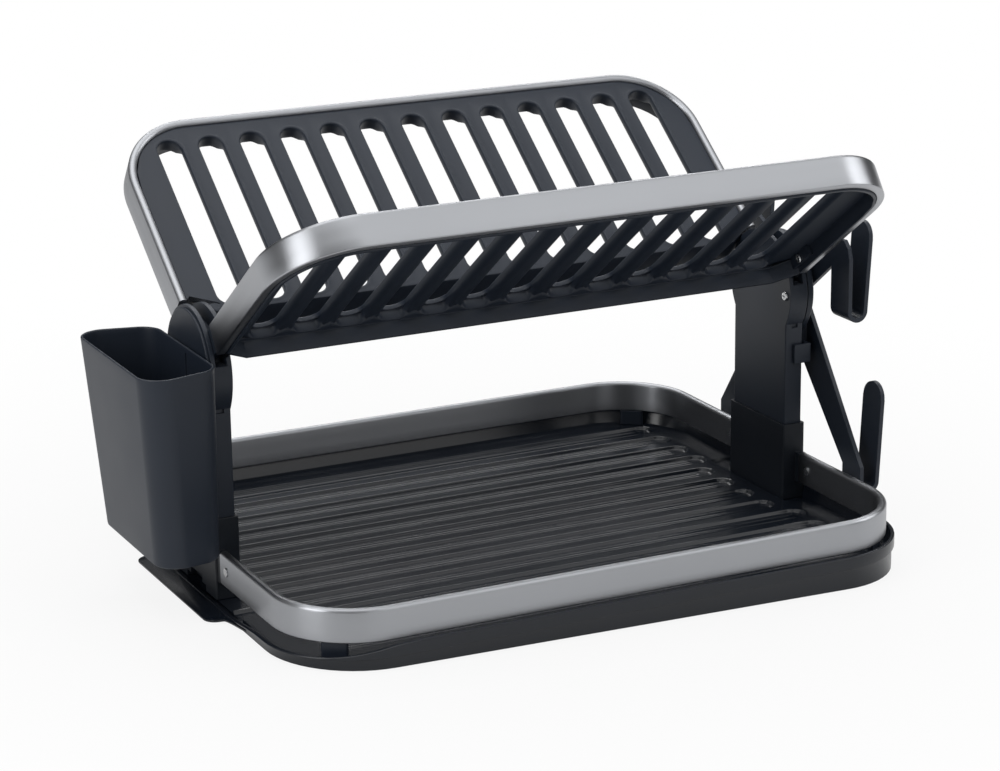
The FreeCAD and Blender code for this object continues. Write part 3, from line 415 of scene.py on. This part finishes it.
# Profiles. SLOT_LIP: away from the slot and up from the plate's top. BAR_SIDE and BAR_END: away from the slot
# and height, along its sides and at its ends. SKIRT_BAND: out from the edge and height.
SLOT_LIP = [(3.0, 0.0), (2.3, 0.22), (1.5, 0.5), (0.8, 0.45), (0.25, 0.1), (0.0, -0.6), (0.0, -2.9)]
BAR_SIDE = [(0.4, 4.4), (1.1, 3.1), (2.1, 2.15), (3.5, 1.58)]
BAR_END = [(0.0, 3.0), (0.0, 0.4), (0.15, -0.6), (0.6, -1.0)]
SKIRT_BAND = [(0.0, GRID_TOP), (2.3, GRID_TOP), (2.8, GRID_TOP - 0.2), (3.0, GRID_TOP - 0.8),
              (3.0, SKIRT_LOW + 0.6), (2.7, SKIRT_LOW), (0.9, SKIRT_LOW), (0.6, SKIRT_LOW + 0.5),
              (0.6, -1.4), (0.0, UNDERSIDE)]


def stadium_cell(middle, low, high, half, cell):
    """Columns round a slot with round ends, as (slot edge, outward direction, edge of its cell).

    Sides stand at middle +- half from low to high and the ends are half circles. A direction at angle a
    meets the cell's rectangle at (cos a, sin a) / max(|cos a|, |sin a|) times the room on that side.
    """
    left, right, bottom, top = cell
    side = np.linspace(low, high, SIDE_POINTS)
    a = np.linspace(0, np.pi, END_STEPS + 1)[1:-1]
    straight = np.stack([np.ones_like(side), np.zeros_like(side)], 1)
    turning = np.stack([np.cos(a), np.sin(a)], 1)
    away = np.concatenate([straight, turning, -straight, -turning])
    base = np.concatenate([side, np.full_like(a, high), side[::-1], np.full_like(a, low)])
    base = np.stack([np.full_like(base, middle), base], 1)
    room = np.stack([np.where(away[:, 0] >= 0, right - middle, middle - left),
                     np.where(away[:, 1] >= 0, top - high, low - bottom)], 1)
    square = away / np.max(np.abs(away), axis=1, keepdims=True)
    return base + half * away, away, base + square * room


def slot_middle(index):
    """X of a slot's middle: an even pitch, with a little more room on both sides of the middle slot."""
    place = index - (SLOT_COUNT - 1) / 2
    return place * SLOT_PITCH + np.sign(place) * MIDDLE_EXTRA


def slot_cell(index):
    """A slot's cell, as left, right, near and far edge; two cells meet half way between their slots."""
    edge = GRID_X - GRID_MARGIN
    left = -edge if index == 0 else (slot_middle(index - 1) + slot_middle(index)) / 2
    right = edge if index == SLOT_COUNT - 1 else (slot_middle(index) + slot_middle(index + 1)) / 2
    return left, right, GRID_START + GRID_MARGIN, GRID_REACH - GRID_MARGIN


def fitted_rim(rim, near, far):
    """A cell's edge fitted to the plate: the moved edge, its outward direction, where the plate ends there.

    Points beyond a round corner of the plate are drawn in to the corner's centre plus radius times their
    direction from it, and the ears at the hinge side stay clear of the brackets.
    """
    sign = np.where(rim[:, 0] < 0, -1.0, 1.0)
    mirror = np.stack([sign, np.ones_like(sign)], 1)
    centre = np.array([GRID_X, GRID_REACH]) - GRID_CORNER
    radius = GRID_CORNER - GRID_MARGIN
    lean = rim * mirror - centre
    far_off = np.linalg.norm(lean, axis=1)
    cornered = (lean > 0).all(axis=1) & (far_off > radius - 0.01)
    lean /= np.maximum(far_off, 1e-9)[:, None]
    rim[cornered] = ((centre + lean * radius) * mirror)[cornered]
    at_side = (np.abs(np.abs(rim[:, 0]) - (GRID_X - GRID_MARGIN)) < 0.01) & ~cornered
    at_near = np.abs(rim[:, 1] - near) < 0.01
    at_far = (np.abs(rim[:, 1] - far) < 0.01) & ~cornered
    ear = at_near & at_side
    rim[ear, 1] = EAR_START + GRID_MARGIN
    inner = at_near & ~ear & (np.abs(rim[:, 0]) > EAR_X - EAR_CATCH)
    rim[inner, 0] = sign[inner] * EAR_X
    outward = np.stack([sign * at_side, at_far * 1.0 - at_near], 1)
    outward[cornered] = (lean * mirror)[cornered]
    return rim, outward, cornered | at_side | at_near | at_far


def underside_rings(middle, slot, away, rim, outer):
    """Underside of a cell, from the slot's lower edge out to the cell's edge.

    A ring is BAR_SIDE times (1 - end) plus BAR_END times end, where end is an eased step of how far the
    outward direction turns to the slot's ends. Under the hinge end a pocket, half flat and half round, is
    let into the underside.
    """
    end = smooth(np.abs(away[:, 1]) * 1.5)
    hinge_end = away[:, 1] < -1e-6
    pocket = slot.copy()
    flat = (SLOT_HALF - POCKET_ROUND) * np.clip(1.6 * away[:, 0], -1, 1)
    pocket[hinge_end, 0] = (middle + flat + POCKET_ROUND * away[:, 0])[hinge_end]
    pocket[hinge_end, 1] = (POCKET_START + POCKET_ROUND + POCKET_ROUND * away[:, 1])[hinge_end]
    blend = np.clip(-away[:, 1] * 6, 0, 1)[:, None]
    pocket = slot * (1 - blend) + pocket * blend
    rings = [stacked(pocket, GRID_TOP - GRID_PLATE)]
    for (o, m), (o_end, m_end) in zip(BAR_SIDE, BAR_END):
        reach = (o * (1 - end) + o_end * end)[:, None]
        rings.append(stacked(pocket + away * reach, m * (1 - end) + m_end * end))
    floor = BAR_LOW * (1 - end) + UNDERSIDE * end
    return rings + [stacked(rim, np.where(outer, UNDERSIDE, floor))]


def grid_cell_sheets(index):
    """One slot with its rolled lip, the undersides of the bars beside it, and its share of the skirt."""
    middle, cell = slot_middle(index), slot_cell(index)
    slot, away, rim = stadium_cell(middle, SLOT_START + SLOT_HALF, SLOT_END - SLOT_HALF, SLOT_HALF, cell)
    rim, outward, outer = fitted_rim(rim, *cell[2:])
    top = [stacked(rim, GRID_TOP)] + [stacked(slot + away * o, GRID_TOP + m) for o, m in SLOT_LIP]
    inside = grid(np.stack(top + underside_rings(middle, slot, away, rim, outer)), close_v=True)
    skirt = np.stack([stacked(rim + outward * o, m) for o, m in SKIRT_BAND])
    points, faces = grid(skirt, close_v=True)
    kept = outer & np.roll(outer, -1)
    faces = faces.reshape(len(SKIRT_BAND) - 1, -1, 4)[:, kept].reshape(-1, 4)
    return [inside, (points, faces)]


grid_sheets = [sheet for index in range(SLOT_COUNT) for sheet in grid_cell_sheets(index)]
for name in ("back_wing", "front_wing"):
    mesh_piece(name + "_slotted_plate", grid_sheets, lambda p, wing=name: on_wing(p, wing), ANTHRACITE, name,
               [name + "_grid"])


# Cutlery holder, in the level frame: corners of its plan at the base and at the rim, in turn from +x, +y.
CUP_LOW = 24.0
CUP_FLOOR = 26.4
CUP_HIGH = 157.0
CUP_WALL = 2.0
CUP_CORNER = 17.0
CUP_CORNER_LEAST = 3.0
CUP_PLAN_LOW = np.array([[-233.3, 51.0], [-279.3, 58.0], [-279.3, -70.0], [-233.3, -63.0]])
CUP_PLAN_HIGH = np.array([[-233.3, 55.0], [-288.9, 69.0], [-288.9, -81.0], [-233.3, -67.0]])
CUP_MIDDLE = np.array([-256.3, -6.0])
# Profiles of its wall, as height and inset: the foot above CUP_LOW, the rim above CUP_HIGH, the inner
# heel above CUP_FLOOR.
CUP_FOOT = [(0.0, 1.7), (0.15, 0.8), (0.7, 0.2), (1.6, 0.0)]
CUP_RIM = [(-0.9, 0.0), (-0.4, 0.12), (-0.1, 0.5), (0.0, 1.0), (-0.1, 1.5), (-0.4, 1.88), (-0.9, 2.0)]
CUP_HEEL = [(2.2, 2.0), (1.0, 2.3), (0.3, 3.0), (0.0, 4.0)]
SEAM_Y = -8.2
SEAM_LOW = 111.0
SEAM_HIGH = 153.0
SEAM_DEPTH = 1.5
SEAM_ACROSS = np.array([-0.85, -0.7, 0.7, 0.85])
DRAIN_COUNT = 6
DRAIN_PITCH = 15.0
DRAIN_HALF = 2.4
DRAIN_RUN = 6.6
DRAIN_FIELD = np.array([12.0, DRAIN_COUNT * DRAIN_PITCH / 2])
# The tongue that hangs on the post's bracket, and the web that holds it, as two corners of a box each.
TONGUE = ((-232.0, -13.0, 54.0), (-230.8, 13.0, 75.3))
TONGUE_WEB = ((-234.4, -13.0, 72.3), (-230.8, 13.0, 75.3))


def rounded_quad(corners, inset, radius, steps=12):
    """Outline of a four-sided plan moved in by inset, with a tangent arc at each corner.

    Side k runs from corner k to the next; each corner's centre lies radius inside both of its sides.
    """
    ahead = np.roll(corners, -1, axis=0) - corners
    ahead /= np.linalg.norm(ahead, axis=1, keepdims=True)
    out = np.stack([ahead[:, 1], -ahead[:, 0]], 1)
    rows = []
    for k in range(4):
        n0, n1 = out[k - 1], out[k]
        share = (inset + radius) / (1 + n0 @ n1)
        centre = corners[k] - (n0 + n1) * share
        a0 = math.atan2(n0[1], n0[0])
        turn = (math.atan2(n1[1], n1[0]) - a0 + np.pi) % (2 * np.pi) - np.pi
        a = a0 + turn * np.linspace(0, 1, steps + 1)
        rows.append(centre + radius * np.stack([np.cos(a), np.sin(a)], 1))
    return np.concatenate(rows)


def cup_ring(z, inset):
    """The holder's plan at a height: its corners move in a straight line from base to rim."""
    share = (z - CUP_LOW) / (CUP_HIGH - CUP_LOW)
    corners = CUP_PLAN_LOW * (1 - share) + CUP_PLAN_HIGH * share
    line = rounded_quad(corners, inset, max(CUP_CORNER - inset, CUP_CORNER_LEAST))
    x = np.full(len(SEAM_ACROSS), CUP_PLAN_LOW[0, 0] - inset)
    return np.concatenate([line, np.stack([x, SEAM_Y + SEAM_ACROSS], 1)])


def cup_sheets():
    """Wall carried from the outer foot over the rim and down to the base, with a seam groove inside.

    Each ring is the plan at its height, moved in by its inset. In the groove's rings the two middle points
    of the seam are set back into the wall.
    """
    before = [(CUP_LOW + z, inset) for z, inset in CUP_FOOT] + [(z, 0.0) for z in np.linspace(40, 150, 8)]
    before += [(CUP_HIGH + z, inset) for z, inset in CUP_RIM] + [(SEAM_HIGH + 0.2, CUP_WALL)]
    groove = [(z, CUP_WALL) for z in (SEAM_HIGH, *np.linspace(140, SEAM_LOW + 0.2, 3))]
    after = [(z, CUP_WALL) for z in (SEAM_LOW, 80.0, 50.0)]
    after += [(CUP_FLOOR + z, inset) for z, inset in CUP_HEEL]
    rings = [stacked(cup_ring(z, inset), z) for z, inset in before + groove + after]
    for ring in rings[len(before):len(before) + len(groove)]:
        ring[-3:-1, 0] += SEAM_DEPTH
    hole = CUP_MIDDLE + np.clip(rings[-1][:, :2] - CUP_MIDDLE, -DRAIN_FIELD, DRAIN_FIELD)
    rings += [stacked(hole, CUP_FLOOR), stacked(hole, CUP_LOW)]
    return [grid(np.stack(rings + rings[:1]), close_v=True)]


def drain_sheets():
    """Base plate filling the wall's opening: a row of round-ended drain holes, each in its own cell.

    The holes run along x, so points are worked out as (y, x) and swapped at the end.
    """
    sheets = []
    (low_x, low_y), (high_x, high_y) = CUP_MIDDLE - DRAIN_FIELD, CUP_MIDDLE + DRAIN_FIELD
    for k in range(DRAIN_COUNT):
        y = low_y + (k + 0.5) * DRAIN_PITCH
        slot, away, rim = stadium_cell(y, CUP_MIDDLE[0] - DRAIN_RUN, CUP_MIDDLE[0] + DRAIN_RUN, DRAIN_HALF,
                                       (y - DRAIN_PITCH / 2, y + DRAIN_PITCH / 2, low_x, high_x))
        rings = np.stack([
            stacked(rim, CUP_FLOOR), stacked(slot + away * 0.5, CUP_FLOOR), stacked(slot, CUP_FLOOR - 0.5),
            stacked(slot, CUP_LOW + 0.4), stacked(slot + away * 0.4, CUP_LOW), stacked(rim, CUP_LOW)])
        sheets.append(grid(rings, close_v=True))
        points, faces = grid(np.stack([rings[-1], rings[0]]), close_v=True)
        lone = np.zeros(len(rim), bool)
        for axis, value in ((1, low_x), (1, high_x), (0, low_y), (0, high_y)):
            flat = np.abs(rim[:, axis] - value) < 0.01
            lone |= flat & np.roll(flat, -1)
        sheets.append((points, faces[lone]))
    return [(points[:, [1, 0, 2]], faces) for points, faces in sheets]


def block_sheets(low, high):
    """Closed box between two corners, as four sides and two caps."""
    x, y = np.array([low[0], high[0], high[0], low[0]]), np.array([low[1], low[1], high[1], high[1]])
    flat = np.stack([x, y], 1)
    middle = np.broadcast_to(flat.mean(axis=0), flat.shape)
    return [grid(np.stack([stacked(middle, low[2]), stacked(flat, low[2]), stacked(flat, high[2]),
                           stacked(middle, high[2])]), close_v=True)]


mesh_piece("cutlery_cup", cup_sheets() + drain_sheets() + block_sheets(*TONGUE) + block_sheets(*TONGUE_WEB),
           level, ANTHRACITE, "cutlery_holder", ["cutlery_holder"])


# Drip tray, in the level frame.
TRAY_HALF = (236.0, 198.0)
TRAY_CORNER = 66.0
RIM_TOP = -0.6
BAND_LOW = -9.4
RIM_INSET = 1.8
RIM_WIDTH = 3.0
TRAY_WALL = 4.0
WALL_RETURN = -15.2
SLAB_LOW = -15.6
WORKTOP_GAP = 0.4
FLOOR_Z = -11.6
FLOOR_INSET = 6.0
FLOOR_BORDER_Y = 173.0
CHANNEL_COUNT = 12
CHANNEL_PITCH = 28.7
CHANNEL_HALF = 10.0
CHANNEL_SIDE = 2.4
CHANNEL_DEPTH = 2.4
CHANNEL_END = 212.0
CHANNEL_END_BY_SLEEVE = 202.0
SLEEVE_REACH = 61.0
# Two beads in each channel: off its middle, half as wide, high, and where they fade out before its end.
BEAD_OFF = 3.65
BEAD_HALF = 2.2
BEAD_HIGH = 0.9
BEAD_STOP = 9.0
BEAD_FADE = 6.0
# The gutter across the channels' low ends, and the outlets from it to the spout, each from y to y.
GUTTER = (-211.0, -199.0)
GUTTER_HALF = 171.0
GUTTER_SIDE = 2.0
OUTLETS = ((-16.0, 16.0), (66.0, 84.0), (-84.0, -66.0))
OUTLET_SIDE = 1.6
# How far the rim dips towards the spout side and between which distances, and its open mouth there.
RIM_DIP = 7.9
DIP_START = 158.0
DIP_END = 228.0
MOUTH_HALF = 128.0
MOUTH_EASE = 70.0
SPOUT_HALF = 62.0
SPOUT_REACH = 15.0
SPOUT_ROOT_HALF = 104.0
SPOUT_CORNER = 9.0
SPOUT_THICK = 1.5
# Seats that the sleeves stand in.
SEAT_X = 222.4
SEAT_HALF = (10.6, 65.0)
SEAT_SIDE = 0.7
SEAT_Z = -13.5


def rounded_loop(half_x, half_y, corner, steps=14, run=18):
    """Outer line of a rectangle with round corners and its outward normals, with points along every side."""
    cx, cy = half_x - corner, half_y - corner
    rows = []
    for k, (sx, sy) in enumerate(((1, 1), (-1, 1), (-1, -1), (1, -1))):
        rows.append(arc((sx * cx, sy * cy), corner, 90 * k, 90 * k + 90, steps))
        ahead = np.array([(-cx, half_y), (-half_x, -cy), (cx, -half_y), (half_x, cy)][k])
        share = np.linspace(0, 1, run + 1)[1:-1, None]
        rows.append(rows[-1][-1] * (1 - share) + ahead * share)
    line = np.concatenate(rows)
    away = line - np.stack([np.clip(line[:, 0], -cx, cx), np.clip(line[:, 1], -cy, cy)], 1)
    return line, away / np.linalg.norm(away, axis=1, keepdims=True)


def rim_height(line):
    """Height of the rim along its line.

    It is level, then goes down towards the spout side by a sine to the power 1.6, and an eased step takes
    it down to the floor at the spout's mouth.
    """
    t = np.clip((-line[:, 0] - DIP_START) / (DIP_END - DIP_START), 0, 1)
    top = RIM_TOP - RIM_DIP * np.sin(t * np.pi / 2) ** 1.6
    mouth = smooth((MOUTH_HALF - np.abs(line[:, 1])) / MOUTH_EASE) * (line[:, 0] < 30 - TRAY_HALF[0])
    return top * (1 - mouth) + (SEAT_Z - 0.15) * mouth


def ground(line):
    """Height of the worktop, plus a small gap, under a point of the tipped frame."""
    return (WORKTOP_GAP - TRAY_DEPTH - line[:, 0] * math.sin(DRAIN_SLOPE)) / math.cos(DRAIN_SLOPE)


def tray_wall_sheets():
    """Closed section carried round the tray: skirt, step, rim band, rounded rim, inner slope, hidden return.

    Each pair of the section is how far in from the outer line, and the height.
    """
    line, away = rounded_loop(*TRAY_HALF, TRAY_CORNER)
    top, low = rim_height(line), ground(line)
    band = np.minimum(BAND_LOW, top - 1.6)
    section = [
        (RIM_INSET, low), (RIM_INSET, band - 0.9), (RIM_INSET - 0.25, band - 0.45), (0.6, band - 0.1),
        (0.15, band + 0.25), (0.0, band + 0.8), (0.0, np.maximum(top - 1.1, band + 0.9)), (0.12, top - 0.45),
        (0.5, top - 0.12), (1.0, top), (RIM_WIDTH - 0.9, top), (RIM_WIDTH - 0.3, top - 0.15),
        (RIM_WIDTH, top - 0.6), (RIM_WIDTH + 0.35, top - 1.2),
        (FLOOR_INSET - 0.5, np.minimum(FLOOR_Z + 1.0, top - 1.3)),
        (FLOOR_INSET, np.minimum(FLOOR_Z, top - 1.4)), (FLOOR_INSET + 0.6, WALL_RETURN),
        (TRAY_WALL, WALL_RETURN - 0.6), (TRAY_WALL, low), (TRAY_WALL - 0.8, low)]
    rings = [stacked(line - away * inset, height) for inset, height in section]
    return [grid(np.stack(rings + rings[:1]), close_v=True)]


def floor_height(x, y):
    """Height of the tray's floor at points x, y.

    A channel is as deep as a smooth step of how far the point lies inside its stadium, less two low beads
    along it, each a cosine squared. The gutter, its outlets and the seats of the sleeves are let in by
    smooth steps of how far the point lies inside their rectangles.
    """
    height = np.full(x.shape, FLOOR_Z)
    for k in range(CHANNEL_COUNT):
        middle = (k - (CHANNEL_COUNT - 1) / 2) * CHANNEL_PITCH
        by_sleeve = abs(middle) - CHANNEL_HALF < SLEEVE_REACH
        end = CHANNEL_END_BY_SLEEVE if by_sleeve else CHANNEL_END
        off = np.hypot(np.maximum(x - (end - CHANNEL_HALF), 0), y - middle)
        sunk = CHANNEL_DEPTH * smooth((CHANNEL_HALF - off) / CHANNEL_SIDE)
        fade = smooth((end - BEAD_STOP - x) / BEAD_FADE)
        for side in (-1, 1):
            bead = np.clip((y - middle - side * BEAD_OFF) / BEAD_HALF, -1, 1)
            sunk = sunk - BEAD_HIGH * np.cos(bead * np.pi / 2) ** 2 * fade
        inside = (off < CHANNEL_HALF) & (x > GUTTER[0])
        height = np.where(inside, np.minimum(height, FLOOR_Z - sunk), height)
    across = np.minimum(np.minimum(x - GUTTER[0], GUTTER[1] + 1.5 - x), GUTTER_HALF - np.abs(y))
    height = np.minimum(height, FLOOR_Z - CHANNEL_DEPTH * smooth(across / GUTTER_SIDE + 0.2))
    for low, high in OUTLETS:
        across = np.minimum(np.minimum(y - low, high - y), GUTTER[0] + 3.0 - x)
        height = np.minimum(height, FLOOR_Z - CHANNEL_DEPTH * smooth(across / OUTLET_SIDE))
    for side in (-1, 1):
        beyond = np.maximum(np.abs(x - side * SEAT_X) - SEAT_HALF[0], np.abs(y) - SEAT_HALF[1])
        height = np.minimum(height, FLOOR_Z + (SEAT_Z - FLOOR_Z) * smooth(-beyond / SEAT_SIDE))
    open_side = (x < -SEAT_X) & (np.abs(y) < SPOUT_HALF)
    return np.where(open_side, np.minimum(height, SEAT_Z), height)


def floor_lines(half_y):
    """Values of y for the floor's grid: close together on every channel edge and bead, wide apart between."""
    edge = [7.5, 8.0, 8.35, 8.7, 9.0, 9.3, 9.65, 10.0, 10.5]
    bead = BEAD_OFF + np.linspace(-BEAD_HALF, BEAD_HALF, 15)
    one = np.concatenate([edge, bead, [0.7, 6.6, 11.2, 12.6]])
    middles = (np.arange(CHANNEL_COUNT) - (CHANNEL_COUNT - 1) / 2) * CHANNEL_PITCH
    lines = (middles[:, None] + np.concatenate([-one, [0.0], one])).ravel()
    border = np.linspace(FLOOR_BORDER_Y, half_y, 9)
    return np.unique(np.round(np.concatenate([lines, border, -border]), 3))


def tray_floor_sheets():
    """Slab with the floor's height on top; points beyond the wall's foot are drawn in to its rounded line."""
    inset = FLOOR_INSET - 0.6
    half_x, half_y, corner = TRAY_HALF[0] - inset, TRAY_HALF[1] - inset, TRAY_CORNER - inset
    # Close together over the gutter and over the channels' ends, wide apart along their straight run.
    xs = np.concatenate([np.linspace(-half_x, -195, 40), np.linspace(-190, 178, 10),
                         np.linspace(182, half_x, 50)])
    x, y = np.meshgrid(xs, floor_lines(half_y), indexing="ij")
    cx, cy = np.clip(x, -half_x + corner, half_x - corner), np.clip(y, -half_y + corner, half_y - corner)
    off = np.hypot(x - cx, y - cy)
    draw = np.minimum(1, corner / np.maximum(off, 1e-9))
    x, y = cx + (x - cx) * draw, cy + (y - cy) * draw
    top = np.stack([x, y, floor_height(x, y)], -1)
    low = np.stack([x, y, np.full(x.shape, SLAB_LOW)], -1)
    sheets = [grid(top)]
    for pair in ((top[0], low[0]), (top[-1], low[-1]), (top[:, 0], low[:, 0]), (top[:, -1], low[:, -1])):
        sheets.append(grid(np.stack(pair)))
    border = np.concatenate([low[0], low[1:, -1], low[-1, -2::-1], low[-2:0:-1, 0]])
    middle = np.stack([np.clip(border[:, 0], -60, 60), np.zeros(len(border)), border[:, 2]], 1)
    sheets.append(grid(np.stack([border, middle]), close_v=True))
    return sheets


def spout_sheets():
    """Thin drain lip with a rolled edge: its outline runs out from the rim in an S, round two corners.

    Rings of the outline, moved in by up to 0.5 mm, give the rolled edge.
    """
    tip_x, root = -TRAY_HALF[0] - SPOUT_REACH, -TRAY_HALF[0] + 5.0
    s = np.linspace(0, 1, 15)
    flare_x = root - 2 + (-TRAY_HALF[0] - 4.0 - root + 2) * s
    flare_y = -SPOUT_ROOT_HALF + (SPOUT_ROOT_HALF - SPOUT_HALF - 10.0) * smooth(s ** 0.8)
    corner = arc((tip_x + SPOUT_CORNER, -SPOUT_HALF - 0.6), SPOUT_CORNER, 270, 180, 10)
    half = np.concatenate([np.stack([flare_x, flare_y], 1), corner])
    line = np.concatenate([half, half[::-1] * [1, -1]])
    core = np.stack([np.full(len(line), root), line[:, 1]], 1)
    step = core - line
    step /= np.maximum(np.linalg.norm(step, axis=1, keepdims=True), 1e-6)
    high, low = FLOOR_Z - CHANNEL_DEPTH, FLOOR_Z - CHANNEL_DEPTH - SPOUT_THICK
    rings = [stacked(core, high), stacked(line + step * 0.5, high), stacked(line + step * 0.12, high - 0.2),
             stacked(line, high - 0.55), stacked(line, low + 0.5), stacked(line + step * 0.3, low),
             stacked(core, low)]
    return [grid(np.stack(rings), close_v=True)]


mesh_piece("ribbed_tray", tray_wall_sheets() + tray_floor_sheets() + spout_sheets(), level, TRAY_PLASTIC,
           "tray", ["drip_tray"], sharp=32.0)


# Share of the white backdrop that shows in gloss, over what lights the object. The photograph's metal and
# plastic show hardly any of it.
MIRRORED_FLOOR = 0.35
MIRRORED_ROOM = 0.02
# To the camera the floor is a little grey near the rack and white further out, in metres from its middle. The
# grey is painted shade: near the rack the white glow gives way in part to the lit paper, so the rack's real
# shadow on that paper shows there too.
SHADE_RING_NEAR = 0.2
SHADE_RING_FAR = 0.8
SHADE_RING_LEVEL = 0.86


def pale_floor():
    """A wide level floor that reads as white paper to the camera. Painted shade greys it a little near the
    rack, where the rack's real soft shadow also shows.
    """
    material, tree, output, place = new_material("white_paper_floor")
    rays = add(tree, "ShaderNodeLightPath")
    paper = add(tree, "ShaderNodeBsdfDiffuse", {"Color": linear("#D8D8D8")})
    glow = add(tree, "ShaderNodeEmission", {"Color": (1, 1, 1, 1), "Strength": 1.0})
    seen = add(tree, "ShaderNodeMath", {"operation": "MAXIMUM"},
               {0: rays.outputs["Is Camera Ray"], 1: rays.outputs["Is Transmission Ray"]})
    away = add(tree, "ShaderNodeVectorMath", {"operation": "LENGTH"}, {0: place})
    # Painted shade: the glow's share falls near the rack, so the floor there is a little grey even where no
    # shadow falls.
    open_floor = add(tree, "ShaderNodeMapRange", {
        "interpolation_type": "SMOOTHSTEP", "From Min": SHADE_RING_NEAR, "From Max": SHADE_RING_FAR,
        "To Min": SHADE_RING_LEVEL, "To Max": 1.0}, {"Value": away.outputs["Value"]})
    shown = add(tree, "ShaderNodeMath", {"operation": "MULTIPLY"},
                {0: seen.outputs[0], 1: open_floor.outputs[0]})
    share = add(tree, "ShaderNodeMath", {"operation": "MULTIPLY_ADD", 1: MIRRORED_FLOOR},
                {0: rays.outputs["Is Glossy Ray"], 2: shown.outputs[0]})
    both = add(tree, "ShaderNodeMixShader", {}, {0: share.outputs[0], 1: paper.outputs[0], 2: glow.outputs[0]})
    tree.links.new(both.outputs[0], output.inputs["Surface"])
    mesh = bpy.data.meshes.new("floor")
    mesh.from_pydata([(-9, -9, 0), (9, -9, 0), (9, 9, 0), (-9, 9, 0)], [], [(0, 1, 2, 3)])
    mesh.materials.append(material)
    floor = bpy.data.objects.new("floor", mesh)
    bpy.context.scene.collection.objects.link(floor)


def studio_world():
    """White to the camera; to the object a plain room, dark at the horizon and paler overhead.

    The room's level rises with the height of a direction's unit vector, from 17 to 72 degrees up.
    """
    world = bpy.data.worlds.new("studio")
    bpy.context.scene.world = world
    world.use_nodes = True
    tree = world.node_tree
    tree.nodes.clear()
    output = add(tree, "ShaderNodeOutputWorld")
    rays = add(tree, "ShaderNodeLightPath")
    direction = add(tree, "ShaderNodeTexCoord").outputs["Generated"]
    height = add(tree, "ShaderNodeSeparateXYZ", {}, {0: direction})
    ramp = add(tree, "ShaderNodeMapRange", {"From Min": 0.3, "From Max": 0.95, "To Min": 0.03, "To Max": 0.75},
               {"Value": height.outputs["Z"]})
    mirrored = add(tree, "ShaderNodeMath", {"operation": "MULTIPLY_ADD", 1: MIRRORED_ROOM},
                   {0: rays.outputs["Is Glossy Ray"], 2: ramp.outputs[0]})
    seen = add(tree, "ShaderNodeMath", {"operation": "MAXIMUM"},
               {0: rays.outputs["Is Camera Ray"], 1: rays.outputs["Is Transmission Ray"]})
    strength = add(tree, "ShaderNodeMix", {"data_type": "FLOAT", 3: 1.0},
                   {0: seen.outputs[0], 2: mirrored.outputs[0]})
    light = add(tree, "ShaderNodeBackground", {"Color": (1, 1, 1, 1)}, {"Strength": strength.outputs[0]})
    tree.links.new(light.outputs[0], output.inputs["Surface"])


def soft_box(name, at, towards, size, power):
    """A rectangular soft box that faces a point."""
    lamp = bpy.data.lights.new(name, "AREA")
    lamp.shape = "RECTANGLE"
    lamp.size, lamp.size_y = size
    lamp.energy = power
    holder = bpy.data.objects.new(name, lamp)
    aim_at(holder, at, towards, 0.0)
    bpy.context.scene.collection.objects.link(holder)


def aim_at(holder, at, towards, roll):
    """Places an object at a point with its -Z towards another, rolled by an angle in degrees."""
    back = (Vector(at) - Vector(towards)).normalized()
    right = Vector((0, 0, 1)).cross(back).normalized()
    turn = Matrix((right, back.cross(right), back)).transposed()
    turn = turn @ Matrix.Rotation(math.radians(roll), 3, "Z")
    holder.matrix_world = Matrix.Translation(at) @ turn.to_4x4()


pale_floor()
studio_world()
# Each lamp's place, aim and size are in metres and its power in watts.
soft_box("key_overhead", (-0.3, 0.2, 2.1), (0, 0, 0.1), (2.4, 2.0), 19.0)
soft_box("side_left", (-2.2, -0.5, 1.0), (0, 0, 0.15), (1.2, 1.4), 19.0)
soft_box("front_high", (1.3, -1.5, 1.9), (0, 0, 0.2), (2.8, 1.8), 13.5)
soft_box("front_low", (0.5, -2.6, 0.8), (0, 0, 0.1), (2.4, 0.9), 6.0)
soft_box("side_right", (2.3, -0.6, 1.3), (0, 0, 0.15), (1.4, 1.2), 14.0)
soft_box("back_high", (1.1, 2.2, 2.1), (0, 0, 0.05), (2.6, 0.6), 24.0)

# The photograph's viewing angle, fitted to the straight edges of the rack.
CAMERA_AT = (-0.89829, -1.81136, 0.69545)
CAMERA_TOWARDS = (0.01099, 0.02257, 0.10856)
CAMERA_ROLL = 0.3
camera = bpy.data.cameras.new("camera")
camera.sensor_width = 36.0
camera.lens = 107.0
camera.clip_end = 50.0
viewer = bpy.data.objects.new("camera", camera)
aim_at(viewer, CAMERA_AT, CAMERA_TOWARDS, CAMERA_ROLL)
bpy.context.scene.collection.objects.link(viewer)
bpy.context.scene.camera = viewer

bpy.context.scene.view_settings.view_transform = "Standard"
